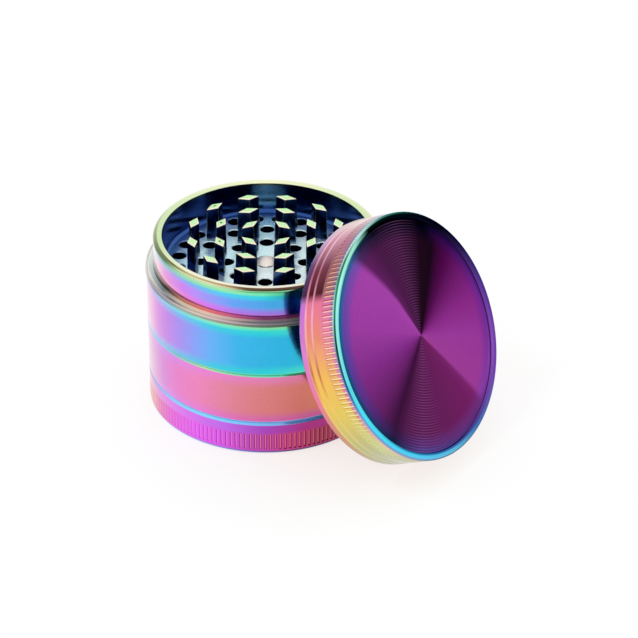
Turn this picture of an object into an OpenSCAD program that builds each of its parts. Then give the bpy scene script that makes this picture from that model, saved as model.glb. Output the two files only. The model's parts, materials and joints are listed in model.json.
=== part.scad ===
// Four-piece hand grinder with its lid off, leaning against the body.
// Z is the axis of the stacked body; the origin is the centre of the bottom face.

/* [Body] */
// Outside diameter of the stacked body
body_d = 50; // [48:0.5:52]
// Height of the base cup, up to its seam
base_h = 7.5; // [7:0.1:8]
// Height of the collection chamber's outer band
collection_h = 11.65; // [11:0.05:13]
// Height of the tooth chamber's outer band, up to its shoulder
chamber_h = 11.8; // [11:0.1:13]
// Height of the collar above the shoulder
collar_h = 7.65; // [7.2:0.05:8.5]
// Outside diameter of the collar that the lid turns on
collar_d = 46.9; // [46.6:0.1:47.4]
// Wall of the collar
collar_wall = 1.7; // [1.2:0.1:1.8]
// Bore of the cup, the collection chamber and the tooth chamber's underside
bore_d = 42.4; // [41:0.1:43]
// Wide chamfer on both sides of the seam between cup and collection chamber
seam_chamfer = 0.5; // [0.3:0.05:0.6]
// Fine chamfer on the other edges of the bands
edge_chamfer = 0.25; // [0.15:0.05:0.4]

/* [Screw joints] */
// Outside diameter of the threaded necks
neck_d = 46; // [45:0.1:46.4]
// Height of the threaded necks
neck_h = 3.5; // [3:0.1:4]
// Radial clearance of the threaded necks
neck_gap = 0.08; // [0.05:0.01:0.1]

/* [Teeth] */
// Long diagonal of a diamond tooth, along its ring
tooth_length = 4.5; // [4:0.1:4.8]
// Short diagonal of a diamond tooth, across its ring
tooth_width = 2.2; // [1.8:0.1:2.4]
// Height of the tooth tops above the chamber's floor
tooth_h = 7.1; // [6.6:0.1:7.3]
// Radius of the chamber's innermost ring of teeth
first_ring_r = 4.8; // [4.7:0.1:5.2]
// Distance between neighbouring rings of the chamber's teeth
ring_pitch = 5.4; // [5.2:0.1:5.5]
// Teeth in the innermost ring; each further ring has as many more
first_ring_count = 4; // [4:1:4]
// Number of rings of teeth in each set
ring_count = 3; // [3:1:3]

/* [Floor] */
// Depth of the chamber's floor below the top of the collar
floor_depth = 7.1; // [6.8:0.1:7.3]
// Thickness of the perforated floor
floor_t = 1.8; // [1.5:0.1:2.4]
// Diameter of the holes in the floor
hole_d = 3; // [2.4:0.1:3]
// Number of holes in the inner ring
inner_holes = 8; // [8:1:8]
// Radius of the inner ring of holes
inner_holes_r = 8.2; // [8:0.1:8.4]
// Number of holes in the middle ring
middle_holes = 12; // [12:1:12]
// Radius of the middle ring of holes
middle_holes_r = 13.8; // [13.6:0.1:14]
// Number of holes in the outer ring
outer_holes = 24; // [24:1:24]
// Radius of the outer ring of holes
outer_holes_r = 18.4; // [18.3:0.1:18.8]

/* [Magnets] */
// Diameter of the disc magnets
magnet_d = 4.6; // [4:0.1:5]
// Thickness of the disc magnets
magnet_t = 1.6; // [1.2:0.1:2]
// Radial clearance round a magnet in its pocket
magnet_gap = 0.05; // [0.03:0.01:0.1]

/* [Glide ring] */
// Outside diameter of the plastic ring on the shoulder
glide_d = 50.6; // [50.6:0.1:51.2]
// Height of the plastic ring
glide_h = 0.8; // [0.6:0.1:1.2]

/* [Screen] */
// Width of a square opening of the screen
mesh_opening = 1.5; // [1.2:0.1:2]
// Width of the bars between the openings
mesh_bar = 0.5; // [0.4:0.1:0.8]
// Thickness of the screen
mesh_t = 0.3; // [0.2:0.1:0.4]
// Height of the ring that holds the screen
mesh_ring_h = 0.8; // [0.6:0.1:1]

/* [Knurl] */
// Number of grooves round the base cup and round the lid
knurl_count = 156; // [120:4:160]
// Depth of the grooves
knurl_depth = 0.28; // [0.2:0.02:0.35]
// Lower end of the grooves on the base cup
base_knurl_low = 1.1; // [1:0.1:1.4]
// Upper end of the grooves on the base cup
base_knurl_high = 4.8; // [4.6:0.1:5.4]

/* [Lid] */
// Outside diameter of the lid
lid_d = 50.9; // [50:0.1:51.2]
// Height of the lid from the skirt's end to the rim
lid_h = 9.75; // [9.2:0.05:10]
// Radial clearance between the lid's skirt and the collar
lid_gap = 0.1; // [0.08:0.01:0.15]
// Depth of the lid's hollow
lid_depth = 7.8; // [7.5:0.1:8]
// Distance from the skirt's end to the tips of the lid's teeth
lid_tip_depth = 3.5; // [3.5:0.1:4]
// Height of the lowest groove line above the skirt's end
lid_line_low = 2.1; // [1.4:0.1:2.2]
// Height of the upper groove line above the skirt's end
lid_line_high = 3.8; // [3.4:0.1:4]
// Lower end of the lid's grooves, above the skirt's end
lid_knurl_low = 6.3; // [5.8:0.1:6.6]
// Depth of the turned face below the rim, at its edge
face_drop = 0.45; // [0.3:0.05:0.6]
// Rise of the turned face from its edge to its centre
face_rise = 1.1; // [0.6:0.1:1.3]

/* [Leaning lid] */
// Direction in which the lid's face looks, from the front (-Y) towards +X
lid_azimuth = 55.7; // [40:0.1:70]
// Angle of the face's normal above the horizontal
lid_lean = 27.1; // [26:0.1:28]
// Distance of the skirt's centre from the body's axis
lid_reach = 29.3; // [29.2:0.1:32]

/* [Hidden] */
$fn = 96;

body_r = body_d / 2;
bore_r = bore_d / 2;
neck_r = neck_d / 2;
socket_r = neck_r + neck_gap;
collar_r = collar_d / 2;
collar_bore_r = collar_r - collar_wall;
glide_r = glide_d / 2;
glide_chamfer = 0.2;

// heights of the seams and faces of the stack
base_top_z = base_h;
collection_top_z = base_top_z + collection_h;
shoulder_z = collection_top_z + chamber_h;
collar_top_z = shoulder_z + collar_h;
floor_z = collar_top_z - floor_depth;
cup_floor_t = 1.6;
socket_relief = 0.3;
socket_h = neck_h + socket_relief;

// how far a cutting tool goes past the face it opens
cut = 1;

// small gap that keeps stacked bands apart, and chamfers that no driving size sets
seam_gap = 0.02;
foot_chamfer = 0.5;
cup_corner = 1;
neck_chamfer = 0.3;
collar_outer_chamfer = 0.4;
collar_inner_chamfer = 0.2;
floor_corner = 0.6;
under_corner = 0.8;

// seat of the screen, above the lower socket of the collection chamber
mesh_seat_z = base_top_z + socket_h;
mesh_seat_step = 0.7;
mesh_seat_r = neck_r - mesh_seat_step;
mesh_play = 0.05;
mesh_ledge_z = mesh_seat_z + mesh_ring_h + mesh_t + mesh_play;
mesh_ledge_t = 0.8;
mesh_clear_r = 20.4;
mesh_r = mesh_seat_r - neck_gap;
mesh_pitch = mesh_opening + mesh_bar;

// how deep a tooth is rooted in the wall it stands on
tooth_root = 0.5;

// magnet in the chamber's floor
chamber_boss_wall = 1.1;
chamber_boss_r = magnet_d / 2 + chamber_boss_wall;
magnet_proud = 0.2;
magnet_low_z = floor_z + magnet_proud - magnet_t;
magnet_pocket_z = magnet_low_z - magnet_gap;
chamber_boss_t = 0.9;

// the lid in its own frame: z = 0 is the skirt's end, +z goes to the rim
lid_r = lid_d / 2;
lid_bore_r = collar_r + lid_gap;
lid_chamfer = 0.3;
lid_skirt_chamfer = 0.4;
lid_corner = 0.6;
rim_flat = 0.6;
rim_land = 0.1;
rim_bevel = 0.7;
face_r = lid_r - lid_chamfer - rim_flat - rim_bevel;
face_z = lid_h - face_drop;
post_r = 3.3;
post_tip_z = 0.9;
post_chamfer = 0.3;
lid_magnet_proud = 0.1;
lid_ring_shift = ring_pitch / 2;
line_w = 0.6;
line_depth = 0.3;
face_steps = 8;

// the skirt's lowest corner rests on the ground
lid_centre_z = lid_r * cos(lid_lean) - lid_skirt_chamfer * sin(lid_lean);

// how far the crests of the knurl lie inside the plain band
crest_wear = 0.02;

// outline of a band with grooves all round, as a wave between crest and root
function knurl_outline(crest_r, root_r, count) =
    [for (i = [0 : 2 * count - 1])
        let (a = i * 180 / count, r = i % 2 == 0 ? crest_r : root_r)
        [r * cos(a), r * sin(a)]];

// plate with a grooved hole: cuts the grooves into a round wall
module knurl_cutter(wall_r, low_z, high_z) {
    translate([0, 0, low_z])
        linear_extrude(high_z - low_z)
            difference() {
                circle(r = wall_r + cut);
                polygon(knurl_outline(wall_r - crest_wear, wall_r - knurl_depth, knurl_count));
            }
}

// ring of vertical holes or pins, the first one at angle start
module ring_of(count, ring_r, start) {
    for (i = [0 : count - 1])
        rotate([0, 0, start + i * 360 / count])
            translate([ring_r, 0, 0])
                children();
}

// one diamond tooth from low_z to high_z, its long diagonal along the ring
module tooth(low_z, high_z) {
    translate([0, 0, low_z])
        linear_extrude(high_z - low_z)
            polygon([[tooth_width / 2, 0], [0, tooth_length / 2],
                     [-tooth_width / 2, 0], [0, -tooth_length / 2]]);
}

// rings of teeth, each with first_ring_count more teeth than the last
module tooth_rings(inner_r, low_z, high_z) {
    for (ring = [1 : ring_count]) {
        count = ring * first_ring_count;
        ring_of(count, inner_r + (ring - 1) * ring_pitch, 180 / count)
            tooth(low_z, high_z);
    }
}

// puts the lid's own frame where the lid leans: its axis, +z here, points along the face's normal
module leaning() {
    rotate([0, 0, lid_azimuth - 90])
        translate([lid_reach, 0, lid_centre_z])
            rotate([0, 90 - lid_lean, 0])
                children();
}

// knurled cup that catches the finest powder, with the lower threaded neck
module base_cup() {
    color("mediumvioletred")
    difference() {
        rotate_extrude()
            polygon([[0, 0], [body_r - foot_chamfer, 0], [body_r, foot_chamfer],
                     [body_r, base_top_z - seam_chamfer],
                     [body_r - seam_chamfer, base_top_z], [neck_r, base_top_z],
                     [neck_r, base_top_z + neck_h - neck_chamfer],
                     [neck_r - neck_chamfer, base_top_z + neck_h],
                     [bore_r, base_top_z + neck_h], [bore_r, cup_floor_t + cup_corner],
                     [bore_r - cup_corner, cup_floor_t], [0, cup_floor_t]]);
        knurl_cutter(body_r, base_knurl_low, base_knurl_high);
    }
}

// ring pressed in from below, which holds the screen against its ledge
module screen_ring() {
    color("silver")
    translate([0, 0, mesh_seat_z + mesh_play])
        linear_extrude(mesh_ring_h - mesh_play)
            difference() {
                circle(r = mesh_r);
                circle(r = mesh_clear_r);
            }
}

// square-mesh screen with a plain edge
module screen() {
    last = floor(mesh_clear_r / mesh_pitch);
    half_cell = mesh_pitch / 2;
    color("gainsboro")
    translate([0, 0, mesh_seat_z + mesh_ring_h])
        linear_extrude(mesh_t)
            difference() {
                circle(r = mesh_r);
                for (i = [-last : last], j = [-last : last])
                    if (norm([abs(i) * mesh_pitch + half_cell,
                              abs(j) * mesh_pitch + half_cell]) < mesh_clear_r)
                        translate([i * mesh_pitch, j * mesh_pitch])
                            square(mesh_opening, center = true);
            }
}

// plain band with the upper neck on top, the lower socket and the screen's ledge inside
module collection_chamber() {
    seat_z = base_top_z + seam_gap;
    color("salmon")
    rotate_extrude()
        polygon([[socket_r, seat_z], [body_r - seam_chamfer, seat_z],
                 [body_r, seat_z + seam_chamfer],
                 [body_r, collection_top_z - edge_chamfer],
                 [body_r - edge_chamfer, collection_top_z], [neck_r, collection_top_z],
                 [neck_r, collection_top_z + neck_h - neck_chamfer],
                 [neck_r - neck_chamfer, collection_top_z + neck_h],
                 [bore_r, collection_top_z + neck_h],
                 [bore_r, mesh_ledge_z + mesh_ledge_t + bore_r - mesh_clear_r],
                 [mesh_clear_r, mesh_ledge_z + mesh_ledge_t],
                 [mesh_clear_r, mesh_ledge_z], [mesh_seat_r, mesh_ledge_z],
                 [mesh_seat_r, mesh_seat_z], [socket_r, mesh_seat_z]]);
}

// disc magnet in the middle of the chamber's floor
module chamber_magnet() {
    color("rosybrown")
    translate([0, 0, magnet_low_z])
        cylinder(r = magnet_d / 2, h = magnet_t);
}

// band, collar, perforated floor and the lower set of diamond teeth
module tooth_chamber() {
    seat_z = collection_top_z + seam_gap;
    socket_top_z = seat_z + socket_h;
    under_floor_z = floor_z - floor_t;
    color("turquoise")
    difference() {
        union() {
            rotate_extrude()
                polygon([[0, under_floor_z], [bore_r - under_corner, under_floor_z],
                         [bore_r, under_floor_z - under_corner],
                         [bore_r, socket_top_z + socket_r - bore_r],
                         [socket_r, socket_top_z], [socket_r, seat_z],
                         [body_r - edge_chamfer, seat_z], [body_r, seat_z + edge_chamfer],
                         [body_r, shoulder_z - edge_chamfer],
                         [body_r - edge_chamfer, shoulder_z], [collar_r, shoulder_z],
                         [collar_r, collar_top_z - collar_outer_chamfer],
                         [collar_r - collar_outer_chamfer, collar_top_z],
                         [collar_bore_r + collar_inner_chamfer, collar_top_z],
                         [collar_bore_r, collar_top_z - collar_inner_chamfer],
                         [collar_bore_r, floor_z + floor_corner],
                         [collar_bore_r - floor_corner, floor_z], [0, floor_z]]);
            tooth_rings(first_ring_r, floor_z - tooth_root, floor_z + tooth_h);
            translate([0, 0, magnet_pocket_z - chamber_boss_t])
                cylinder(r = chamber_boss_r, h = floor_z - magnet_pocket_z);
        }
        ring_of(inner_holes, inner_holes_r, 0) floor_hole(under_floor_z);
        ring_of(middle_holes, middle_holes_r, 0) floor_hole(under_floor_z);
        ring_of(outer_holes, outer_holes_r, 180 / outer_holes) floor_hole(under_floor_z);
        translate([0, 0, magnet_pocket_z])
            cylinder(r = magnet_d / 2 + magnet_gap, h = magnet_t + cut);
    }
}

// one hole through the chamber's floor
module floor_hole(under_floor_z) {
    translate([0, 0, under_floor_z - cut])
        cylinder(d = hole_d, h = floor_t + 2 * cut, $fn = 32);
}

// plastic ring on the shoulder, on which the lid's skirt turns
module glide_ring() {
    color("antiquewhite")
    translate([0, 0, shoulder_z])
        rotate_extrude()
            polygon([[collar_r, 0], [glide_r - glide_chamfer, 0], [glide_r, glide_chamfer],
                     [glide_r, glide_h - glide_chamfer],
                     [glide_r - glide_chamfer, glide_h], [collar_r, glide_h]]);
}

// disc magnet in the tip of the lid's centre post
module lid_magnet() {
    color("rosybrown")
    leaning()
        translate([0, 0, post_tip_z - lid_magnet_proud])
            cylinder(r = magnet_d / 2, h = magnet_t);
}

// cross-section of the lid without its teeth, from the post out to the rim
function lid_outline() = concat(
    [[0, post_tip_z], [post_r - post_chamfer, post_tip_z],
     [post_r, post_tip_z + post_chamfer], [post_r, lid_depth],
     [lid_bore_r - lid_corner, lid_depth], [lid_bore_r, lid_depth - lid_corner],
     [lid_bore_r, lid_skirt_chamfer], [lid_bore_r + lid_skirt_chamfer, 0],
     [lid_r - lid_skirt_chamfer, 0], [lid_r, lid_skirt_chamfer]],
    line_outline(lid_line_low),
    line_outline(lid_line_high),
    [[lid_r, lid_h - lid_chamfer], [lid_r - lid_chamfer, lid_h],
     [face_r + rim_bevel, lid_h], [face_r, face_z]],
    [for (i = [1 : face_steps]) face_point(1 - i / face_steps)]);

// V-shaped line turned into the lid's side at height z
function line_outline(z) =
    [[lid_r, z - line_w / 2], [lid_r - line_depth, z], [lid_r, z + line_w / 2]];

// point of the gently crowned face, at the share s of its radius
function face_point(s) = [face_r * s, face_z + face_rise * (1 - s * s)];

// knurled lid: skirt, crowned turned face inside a bevelled rim, post and upper teeth
module lid() {
    color("mediumpurple")
    leaning()
        difference() {
            union() {
                rotate_extrude()
                    polygon(lid_outline());
                tooth_rings(first_ring_r + lid_ring_shift, lid_tip_depth,
                            lid_depth + tooth_root);
            }
            knurl_cutter(lid_r, lid_knurl_low, lid_h - lid_chamfer - rim_land);
            translate([0, 0, post_tip_z - cut])
                cylinder(r = magnet_d / 2 + magnet_gap, h = magnet_t + cut);
        }
}

base_cup();
screen_ring();
screen();
collection_chamber();
chamber_magnet();
tooth_chamber();
glide_ring();
lid_magnet();
lid();
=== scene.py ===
# %% [markdown]
# # A four-piece metal grinder with a rainbow coat
# The object is a round herb and spice grinder, turned and cast in zinc alloy and
# coated in a vacuum chamber with a film so thin that it shows rainbow colours.
# It stands with its lid off: the lid leans against the open tooth chamber.
# The solids come from a CAD model, and this lesson gives every piece its real
# edges, turned lines, knurls and finish. One unit in Blender is one metre, so the
# sizes below are written in millimetres and multiplied by mm.

# %% Load the frame
import json
import math

import bpy
from mathutils import Matrix, Vector


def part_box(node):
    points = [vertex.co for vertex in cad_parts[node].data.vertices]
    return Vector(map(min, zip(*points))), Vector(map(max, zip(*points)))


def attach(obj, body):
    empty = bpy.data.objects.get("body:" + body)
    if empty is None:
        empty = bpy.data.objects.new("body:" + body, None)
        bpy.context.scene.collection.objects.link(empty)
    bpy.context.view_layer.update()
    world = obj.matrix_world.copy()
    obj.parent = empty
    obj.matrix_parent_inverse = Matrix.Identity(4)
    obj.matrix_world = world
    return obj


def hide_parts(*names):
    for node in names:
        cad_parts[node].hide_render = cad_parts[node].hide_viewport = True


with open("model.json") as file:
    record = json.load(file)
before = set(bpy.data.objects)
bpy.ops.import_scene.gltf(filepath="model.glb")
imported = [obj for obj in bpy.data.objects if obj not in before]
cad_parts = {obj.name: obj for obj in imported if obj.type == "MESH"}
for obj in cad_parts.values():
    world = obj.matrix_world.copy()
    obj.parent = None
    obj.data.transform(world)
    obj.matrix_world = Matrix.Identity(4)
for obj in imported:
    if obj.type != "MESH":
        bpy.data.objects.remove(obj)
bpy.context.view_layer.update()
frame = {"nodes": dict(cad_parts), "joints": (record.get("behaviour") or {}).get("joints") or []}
mm = 0.001
print("CAD nodes:", ", ".join(sorted(frame["nodes"])))

# %% [markdown]
# ## The camera
# A long lens far away keeps the rings of the grinder nearly parallel. The camera
# looks down by about 32 degrees, so that the teeth and the face of the lid both show.
# Its place is worked out from a target point, a pitch and a distance, which is easier
# to adjust than three bare coordinates.

# %% Place the camera
camera_target = Vector((0.01114, 0.0, 0.01753))
camera_pitch = math.radians(31.62)
camera_roll = math.radians(0.37)
camera_distance = 0.55195
lens_mm = 147.16
sensor_mm = 36.0

towards = Vector((0.0, -math.cos(camera_pitch), math.sin(camera_pitch)))
level_up = Vector((0.0, math.sin(camera_pitch), math.cos(camera_pitch)))
level_right = Vector((1.0, 0.0, 0.0))
right = level_right * math.cos(camera_roll) + level_up * math.sin(camera_roll)
up = level_up * math.cos(camera_roll) - level_right * math.sin(camera_roll)

bpy.ops.object.camera_add()
camera = bpy.context.object
camera.name = "camera"
camera.matrix_world = Matrix.Translation(camera_target + towards * camera_distance) @ Matrix(
    (right, up, towards)).transposed().to_4x4()
camera.data.lens = lens_mm
camera.data.sensor_width = sensor_mm
bpy.context.scene.camera = camera
print("camera stands at", [round(v, 3) for v in camera.matrix_world.translation])

# %% [markdown]
# ## Small helpers
# Everything here is round, so one helper does most of the modelling: it draws half
# of a cross-section, point by point, and spins it about the Z axis, as a lathe does.
# Real edges are never quite sharp, so each corner carries a small rounding, and
# `soften` turns it into an arc. Operators act on all that is selected, so every
# helper starts by deselecting everything.

# %% Helpers for selecting
def deselect():
    bpy.ops.object.select_all(action="DESELECT")


def edit(piece):
    deselect()
    piece.select_set(True)
    bpy.context.view_layer.objects.active = piece
    bpy.ops.object.mode_set(mode="EDIT")


def leave_edit():
    bpy.ops.object.mode_set(mode="OBJECT")


def pick_faces(piece, wanted):
    """Selects the faces for which wanted(centre in mm, radius in mm, normal) is true."""
    edit(piece)
    bpy.ops.mesh.select_mode(type="FACE")
    bpy.ops.mesh.select_all(action="DESELECT")
    leave_edit()
    for face in piece.data.polygons:
        centre = face.center / mm
        face.select = wanted(centre, math.hypot(centre.x, centre.y), face.normal)
    edit(piece)


def apply_place(piece):
    """Moves the object's place, turn and scale into its mesh, so that it sits at the origin."""
    deselect()
    piece.select_set(True)
    bpy.context.view_layer.objects.active = piece
    bpy.ops.object.transform_apply(location=True, rotation=True, scale=True)


def own_copy(piece, name, place):
    """A copy with its own mesh, put at place."""
    deselect()
    piece.select_set(True)
    bpy.context.view_layer.objects.active = piece
    bpy.ops.object.duplicate(linked=False)
    copy = bpy.context.object
    copy.name = name
    copy.data.name = name
    copy.matrix_world = place
    apply_place(copy)
    return copy


# %% [markdown]
# The lathe starts from one point and extrudes it along the section, because spin
# needs a line of edges and no more. A section that stays off the axis is closed by
# a last edge, so that the spin gives a closed ring and not an open tube.

# %% Helpers for turning
weld_mm = 0.002
fewest_arc_steps = 3
arc_steps_per_mm = 8


def soften(corners):
    """Outline in mm from (radius, height, rounding) corners, with an arc at each rounding."""
    outline = []
    for i, (radius, height, rounding) in enumerate(corners):
        here = Vector((radius, height))
        if rounding == 0:
            outline.append(here)
            continue
        before = Vector(corners[i - 1][:2]) - here
        after = Vector(corners[(i + 1) % len(corners)][:2]) - here
        start = here + before.normalized() * rounding
        end = here + after.normalized() * rounding
        arc_steps = max(fewest_arc_steps, round(rounding * arc_steps_per_mm))
        for step in range(arc_steps + 1):
            t = step / arc_steps
            outline.append(start * (1 - t) ** 2 + here * 2 * t * (1 - t) + end * t * t)
    return outline


def lathe(name, corners, steps):
    """Turns a closed cross-section about Z. Corners on the axis close the piece there."""
    outline = soften(corners)
    deselect()
    bpy.ops.mesh.primitive_plane_add(size=mm)
    piece = bpy.context.object
    piece.name = name
    piece.data.name = name
    edit(piece)
    bpy.ops.mesh.select_mode(type="VERT")
    bpy.ops.mesh.select_all(action="SELECT")
    bpy.ops.mesh.merge(type="CENTER")
    bpy.ops.transform.translate(value=(outline[0].x * mm, 0, outline[0].y * mm))
    for here, there in zip(outline, outline[1:]):
        step = (there - here) * mm
        bpy.ops.mesh.extrude_region_move(TRANSFORM_OT_translate={"value": (step.x, 0, step.y)})
    leave_edit()
    open_ring = outline[0].x > 0
    for point in piece.data.vertices:
        point.select = open_ring and point.index in (0, len(outline) - 1)
    edit(piece)
    if open_ring:
        bpy.ops.mesh.edge_face_add()
    bpy.ops.mesh.select_all(action="SELECT")
    bpy.ops.mesh.spin(steps=steps, angle=2 * math.pi, center=(0, 0, 0), axis=(0, 0, 1))
    bpy.ops.mesh.select_all(action="SELECT")
    bpy.ops.mesh.remove_doubles(threshold=weld_mm * mm)
    bpy.ops.mesh.normals_make_consistent(inside=False)
    leave_edit()
    print(f"{name}: {len(piece.data.polygons)} faces")
    return piece


def smooth(piece, angle=30):
    deselect()
    piece.select_set(True)
    bpy.context.view_layer.objects.active = piece
    bpy.ops.object.shade_smooth_by_angle(angle=math.radians(angle))


# %% [markdown]
# ## Sizes
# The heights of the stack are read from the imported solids, so that a piece made
# here always lands on the solid it dresses. Only what the solids don't say, such as
# how far a band stands out from its neck, is written as a number.

# %% Sizes of the stack, in mm
body_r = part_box("collection_chamber")[1].x / mm
base_neck_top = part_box("base_cup")[1].z / mm
collection_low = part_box("collection_chamber")[0].z / mm
collection_neck_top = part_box("collection_chamber")[1].z / mm
chamber_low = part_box("tooth_chamber")[0].z / mm
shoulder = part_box("glide_ring")[0].z / mm
glide_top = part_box("glide_ring")[1].z / mm
glide_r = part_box("glide_ring")[1].x / mm
tooth_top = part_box("tooth_chamber")[1].z / mm
magnet_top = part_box("chamber_magnet")[1].z / mm
magnet_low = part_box("chamber_magnet")[0].z / mm
magnet_r = (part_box("chamber_magnet")[1].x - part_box("chamber_magnet")[0].x) / 2 / mm

neck_h = 3.5
base_top = base_neck_top - neck_h
collection_top = collection_neck_top - neck_h
neck_core_r = 22.55
thread_r = 22.95
socket_r = 23.08
bore_r = 21.2
seam_chamfer = 0.5
edge_chamfer = 0.25
collar_r = 23.45
collar_bore_r = 21.55
rim_rounding = 0.72
tooth_h = 7.1
floor_t = 1.8
floor_top = tooth_top - tooth_h
floor_low = floor_top - floor_t
collar_top = tooth_top
print("seams at", [round(v, 2) for v in (base_top, collection_top, shoulder, collar_top)])

# %% [markdown]
# The lid's pieces are modelled upright at the origin, with the end of its skirt at
# height 0, because a round thing is easy to shape on its own axis. When they are
# done they are laid against the chamber. The joint that turns the lid by hand tells
# where its axis passes and which way it points.

# %% The leaning lid's place
lid_turn = next(joint for joint in frame["joints"] if joint["name"] == "lid_turn")
lid_centre = Vector(lid_turn["pos_m"])
lid_axis = Vector(lid_turn["axis"])
lid_tilt = math.acos(lid_axis.z)
lid_heading = math.atan2(lid_axis.y, lid_axis.x)
lid_place = (Matrix.Translation(lid_centre) @ Matrix.Rotation(lid_heading, 4, "Z")
             @ Matrix.Rotation(lid_tilt, 4, "Y"))
lid_r = 25.45
lid_h = 9.75
lid_bore_r = 23.55
lid_hollow = 7.8
face_r = 23.85
face_low = 9.3
face_rise = 1.1
print("lid tilts by", round(math.degrees(lid_tilt), 1), "degrees")

# %% [markdown]
# ## What a coat needs to know
# The colour of such a film depends on its thickness, which drifts as the piece turns
# in the coating chamber. So the colour changes slowly round each piece and a little
# from edge to edge, and the ramps that follow it also carry painted reflections,
# highlights and shade. The group `round_the_axis` measures where a point lies round
# the piece: Turn goes once from 0 to 1 round the piece with 0.5 at the front, and
# Radius and Height are in mm. It is a group because every coated material needs it.

# %% Group: round the axis
def new_group(name, inputs, outputs):
    group = bpy.data.node_groups.new(name, "ShaderNodeTree")
    for label, kind in inputs:
        group.interface.new_socket(name=label, in_out="INPUT", socket_type=kind)
    for label in outputs:
        group.interface.new_socket(name=label, in_out="OUTPUT", socket_type="NodeSocketFloat")
    return group, group.nodes.new("NodeGroupInput"), group.nodes.new("NodeGroupOutput")


def math_node(tree, operation, first, second=None, third=None):
    """A Math node. A number is set on the socket, and anything else is linked to it."""
    node = tree.nodes.new("ShaderNodeMath")
    node.operation = operation
    for socket, value in zip(node.inputs, (first, second, third)):
        if isinstance(value, (int, float)):
            socket.default_value = value
        elif value is not None:
            tree.links.new(value, socket)
    return node.outputs[0]


axis_group, start, end = new_group(
    "round_the_axis", [("Vector", "NodeSocketVector")], ["Turn", "Radius", "Height"])
split = axis_group.nodes.new("ShaderNodeSeparateXYZ")
axis_group.links.new(start.outputs["Vector"], split.inputs[0])
x, y, z = split.outputs
angle = math_node(axis_group, "ARCTAN2", x, math_node(axis_group, "MULTIPLY", y, -1.0))
turn = math_node(axis_group, "MULTIPLY_ADD", angle, 1 / (2 * math.pi), 0.5)
squares = [math_node(axis_group, "MULTIPLY", side, side) for side in (x, y)]
reach = math_node(axis_group, "SQRT", math_node(axis_group, "ADD", *squares))
axis_group.links.new(turn, end.inputs["Turn"])
axis_group.links.new(math_node(axis_group, "MULTIPLY", reach, 1 / mm), end.inputs["Radius"])
axis_group.links.new(math_node(axis_group, "MULTIPLY", z, 1 / mm), end.inputs["Height"])
print("group:", axis_group.name)

# %% [markdown]
# A polished casting is never a perfect mirror. It keeps faint rings from the
# polishing wheel, slow waves left by the mould, and a haze of handling marks. The
# group `polish_wear` makes all three: Tone darkens or lightens the coat a little,
# Roughness goes to the shader, and Bumps to a Bump node. A picture of scratches would
# do too, but noise needs no file and repeats nowhere.

# %% Group: polish and wear
wear_group, start, end = new_group(
    "polish_wear",
    [("Vector", "NodeSocketVector"), ("Radius", "NodeSocketFloat"), ("Height", "NodeSocketFloat"),
     ("Polish", "NodeSocketFloat"), ("Wear", "NodeSocketFloat")],
    ["Tone", "Roughness", "Bumps"])


def noise_node(tree, vector, scale, detail=2.0):
    node = tree.nodes.new("ShaderNodeTexNoise")
    node.inputs["Scale"].default_value = scale
    node.inputs["Detail"].default_value = detail
    tree.links.new(vector, node.inputs["Vector"])
    return math_node(tree, "SUBTRACT", node.outputs[0], 0.5)


wave_scale = 140.0
handling_scale = 1900.0
wheel_scale = 5.0
mould_waves = noise_node(wear_group, start.outputs["Vector"], wave_scale)
handling = noise_node(wear_group, start.outputs["Vector"], handling_scale, 4.0)
profile = wear_group.nodes.new("ShaderNodeCombineXYZ")
wear_group.links.new(start.outputs["Radius"], profile.inputs[0])
wear_group.links.new(start.outputs["Height"], profile.inputs[1])
wheel_rings = noise_node(wear_group, profile.outputs[0], wheel_scale, 3.0)
wave_share = 0.10
handling_share = 0.14
wheel_share = 0.06
wheel_haze = math_node(wear_group, "MULTIPLY", wheel_rings, wheel_share)
fine_haze = math_node(wear_group, "MULTIPLY_ADD", handling, handling_share, wheel_haze)
haze = math_node(wear_group, "MULTIPLY_ADD", mould_waves, wave_share, fine_haze)
worn_haze = math_node(wear_group, "MULTIPLY", haze, start.outputs["Wear"])
wear_group.links.new(
    math_node(wear_group, "ADD", start.outputs["Polish"], worn_haze), end.inputs["Roughness"])
wear_group.links.new(
    math_node(wear_group, "MULTIPLY_ADD", worn_haze, 0.8, 1.0), end.inputs["Tone"])
wear_group.links.new(math_node(
    wear_group, "MULTIPLY_ADD", wheel_rings, 0.5, handling), end.inputs["Bumps"])
print("group:", wear_group.name)

# %% [markdown]
# A thin film shader would make rainbow colours by itself, but they would shift with
# every turn of the camera and couldn't be put where the real film has them. So a
# coated material is a few colour ramps round the axis, one for each height, and the
# coat fades from one ramp to the next. A list of anchors says at which height, or at
# which radius, each ramp holds. Colours are linear values, and ramp stops are angles
# from the front, towards the right, in degrees. The ramps copy how each piece looks
# from the front, so besides the film's own colours they hold painted reflections,
# painted highlights and painted shade.

# %% Helpers: ramps and fades
def ramp_node(tree, turn_socket, stops):
    """A ramp round the axis from (degrees, colour) stops."""
    node = tree.nodes.new("ShaderNodeValToRGB")
    marks = node.color_ramp.elements
    while len(marks) > 1:
        marks.remove(marks[0])
    for i, (degrees, colour) in enumerate(stops):
        place = (degrees + 180) / 360
        mark = marks.new(place) if i else marks[0]
        mark.position = place
        mark.color = (*colour, 1.0)
    tree.links.new(turn_socket, node.inputs[0])
    return node.outputs["Color"]


def mix_node(tree, factor, first, second):
    """Fades from the first colour to the second. A tuple is a fixed colour.

    A Mix node has a set of sockets for each kind of value, and 6, 7 and 2 are its colours.
    """
    node = tree.nodes.new("ShaderNodeMix")
    node.data_type = "RGBA"
    tree.links.new(factor, node.inputs[0])
    tree.links.new(first, node.inputs[6])
    if isinstance(second, tuple):
        node.inputs[7].default_value = (*second, 1.0)
    else:
        tree.links.new(second, node.inputs[7])
    return node.outputs[2]


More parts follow.
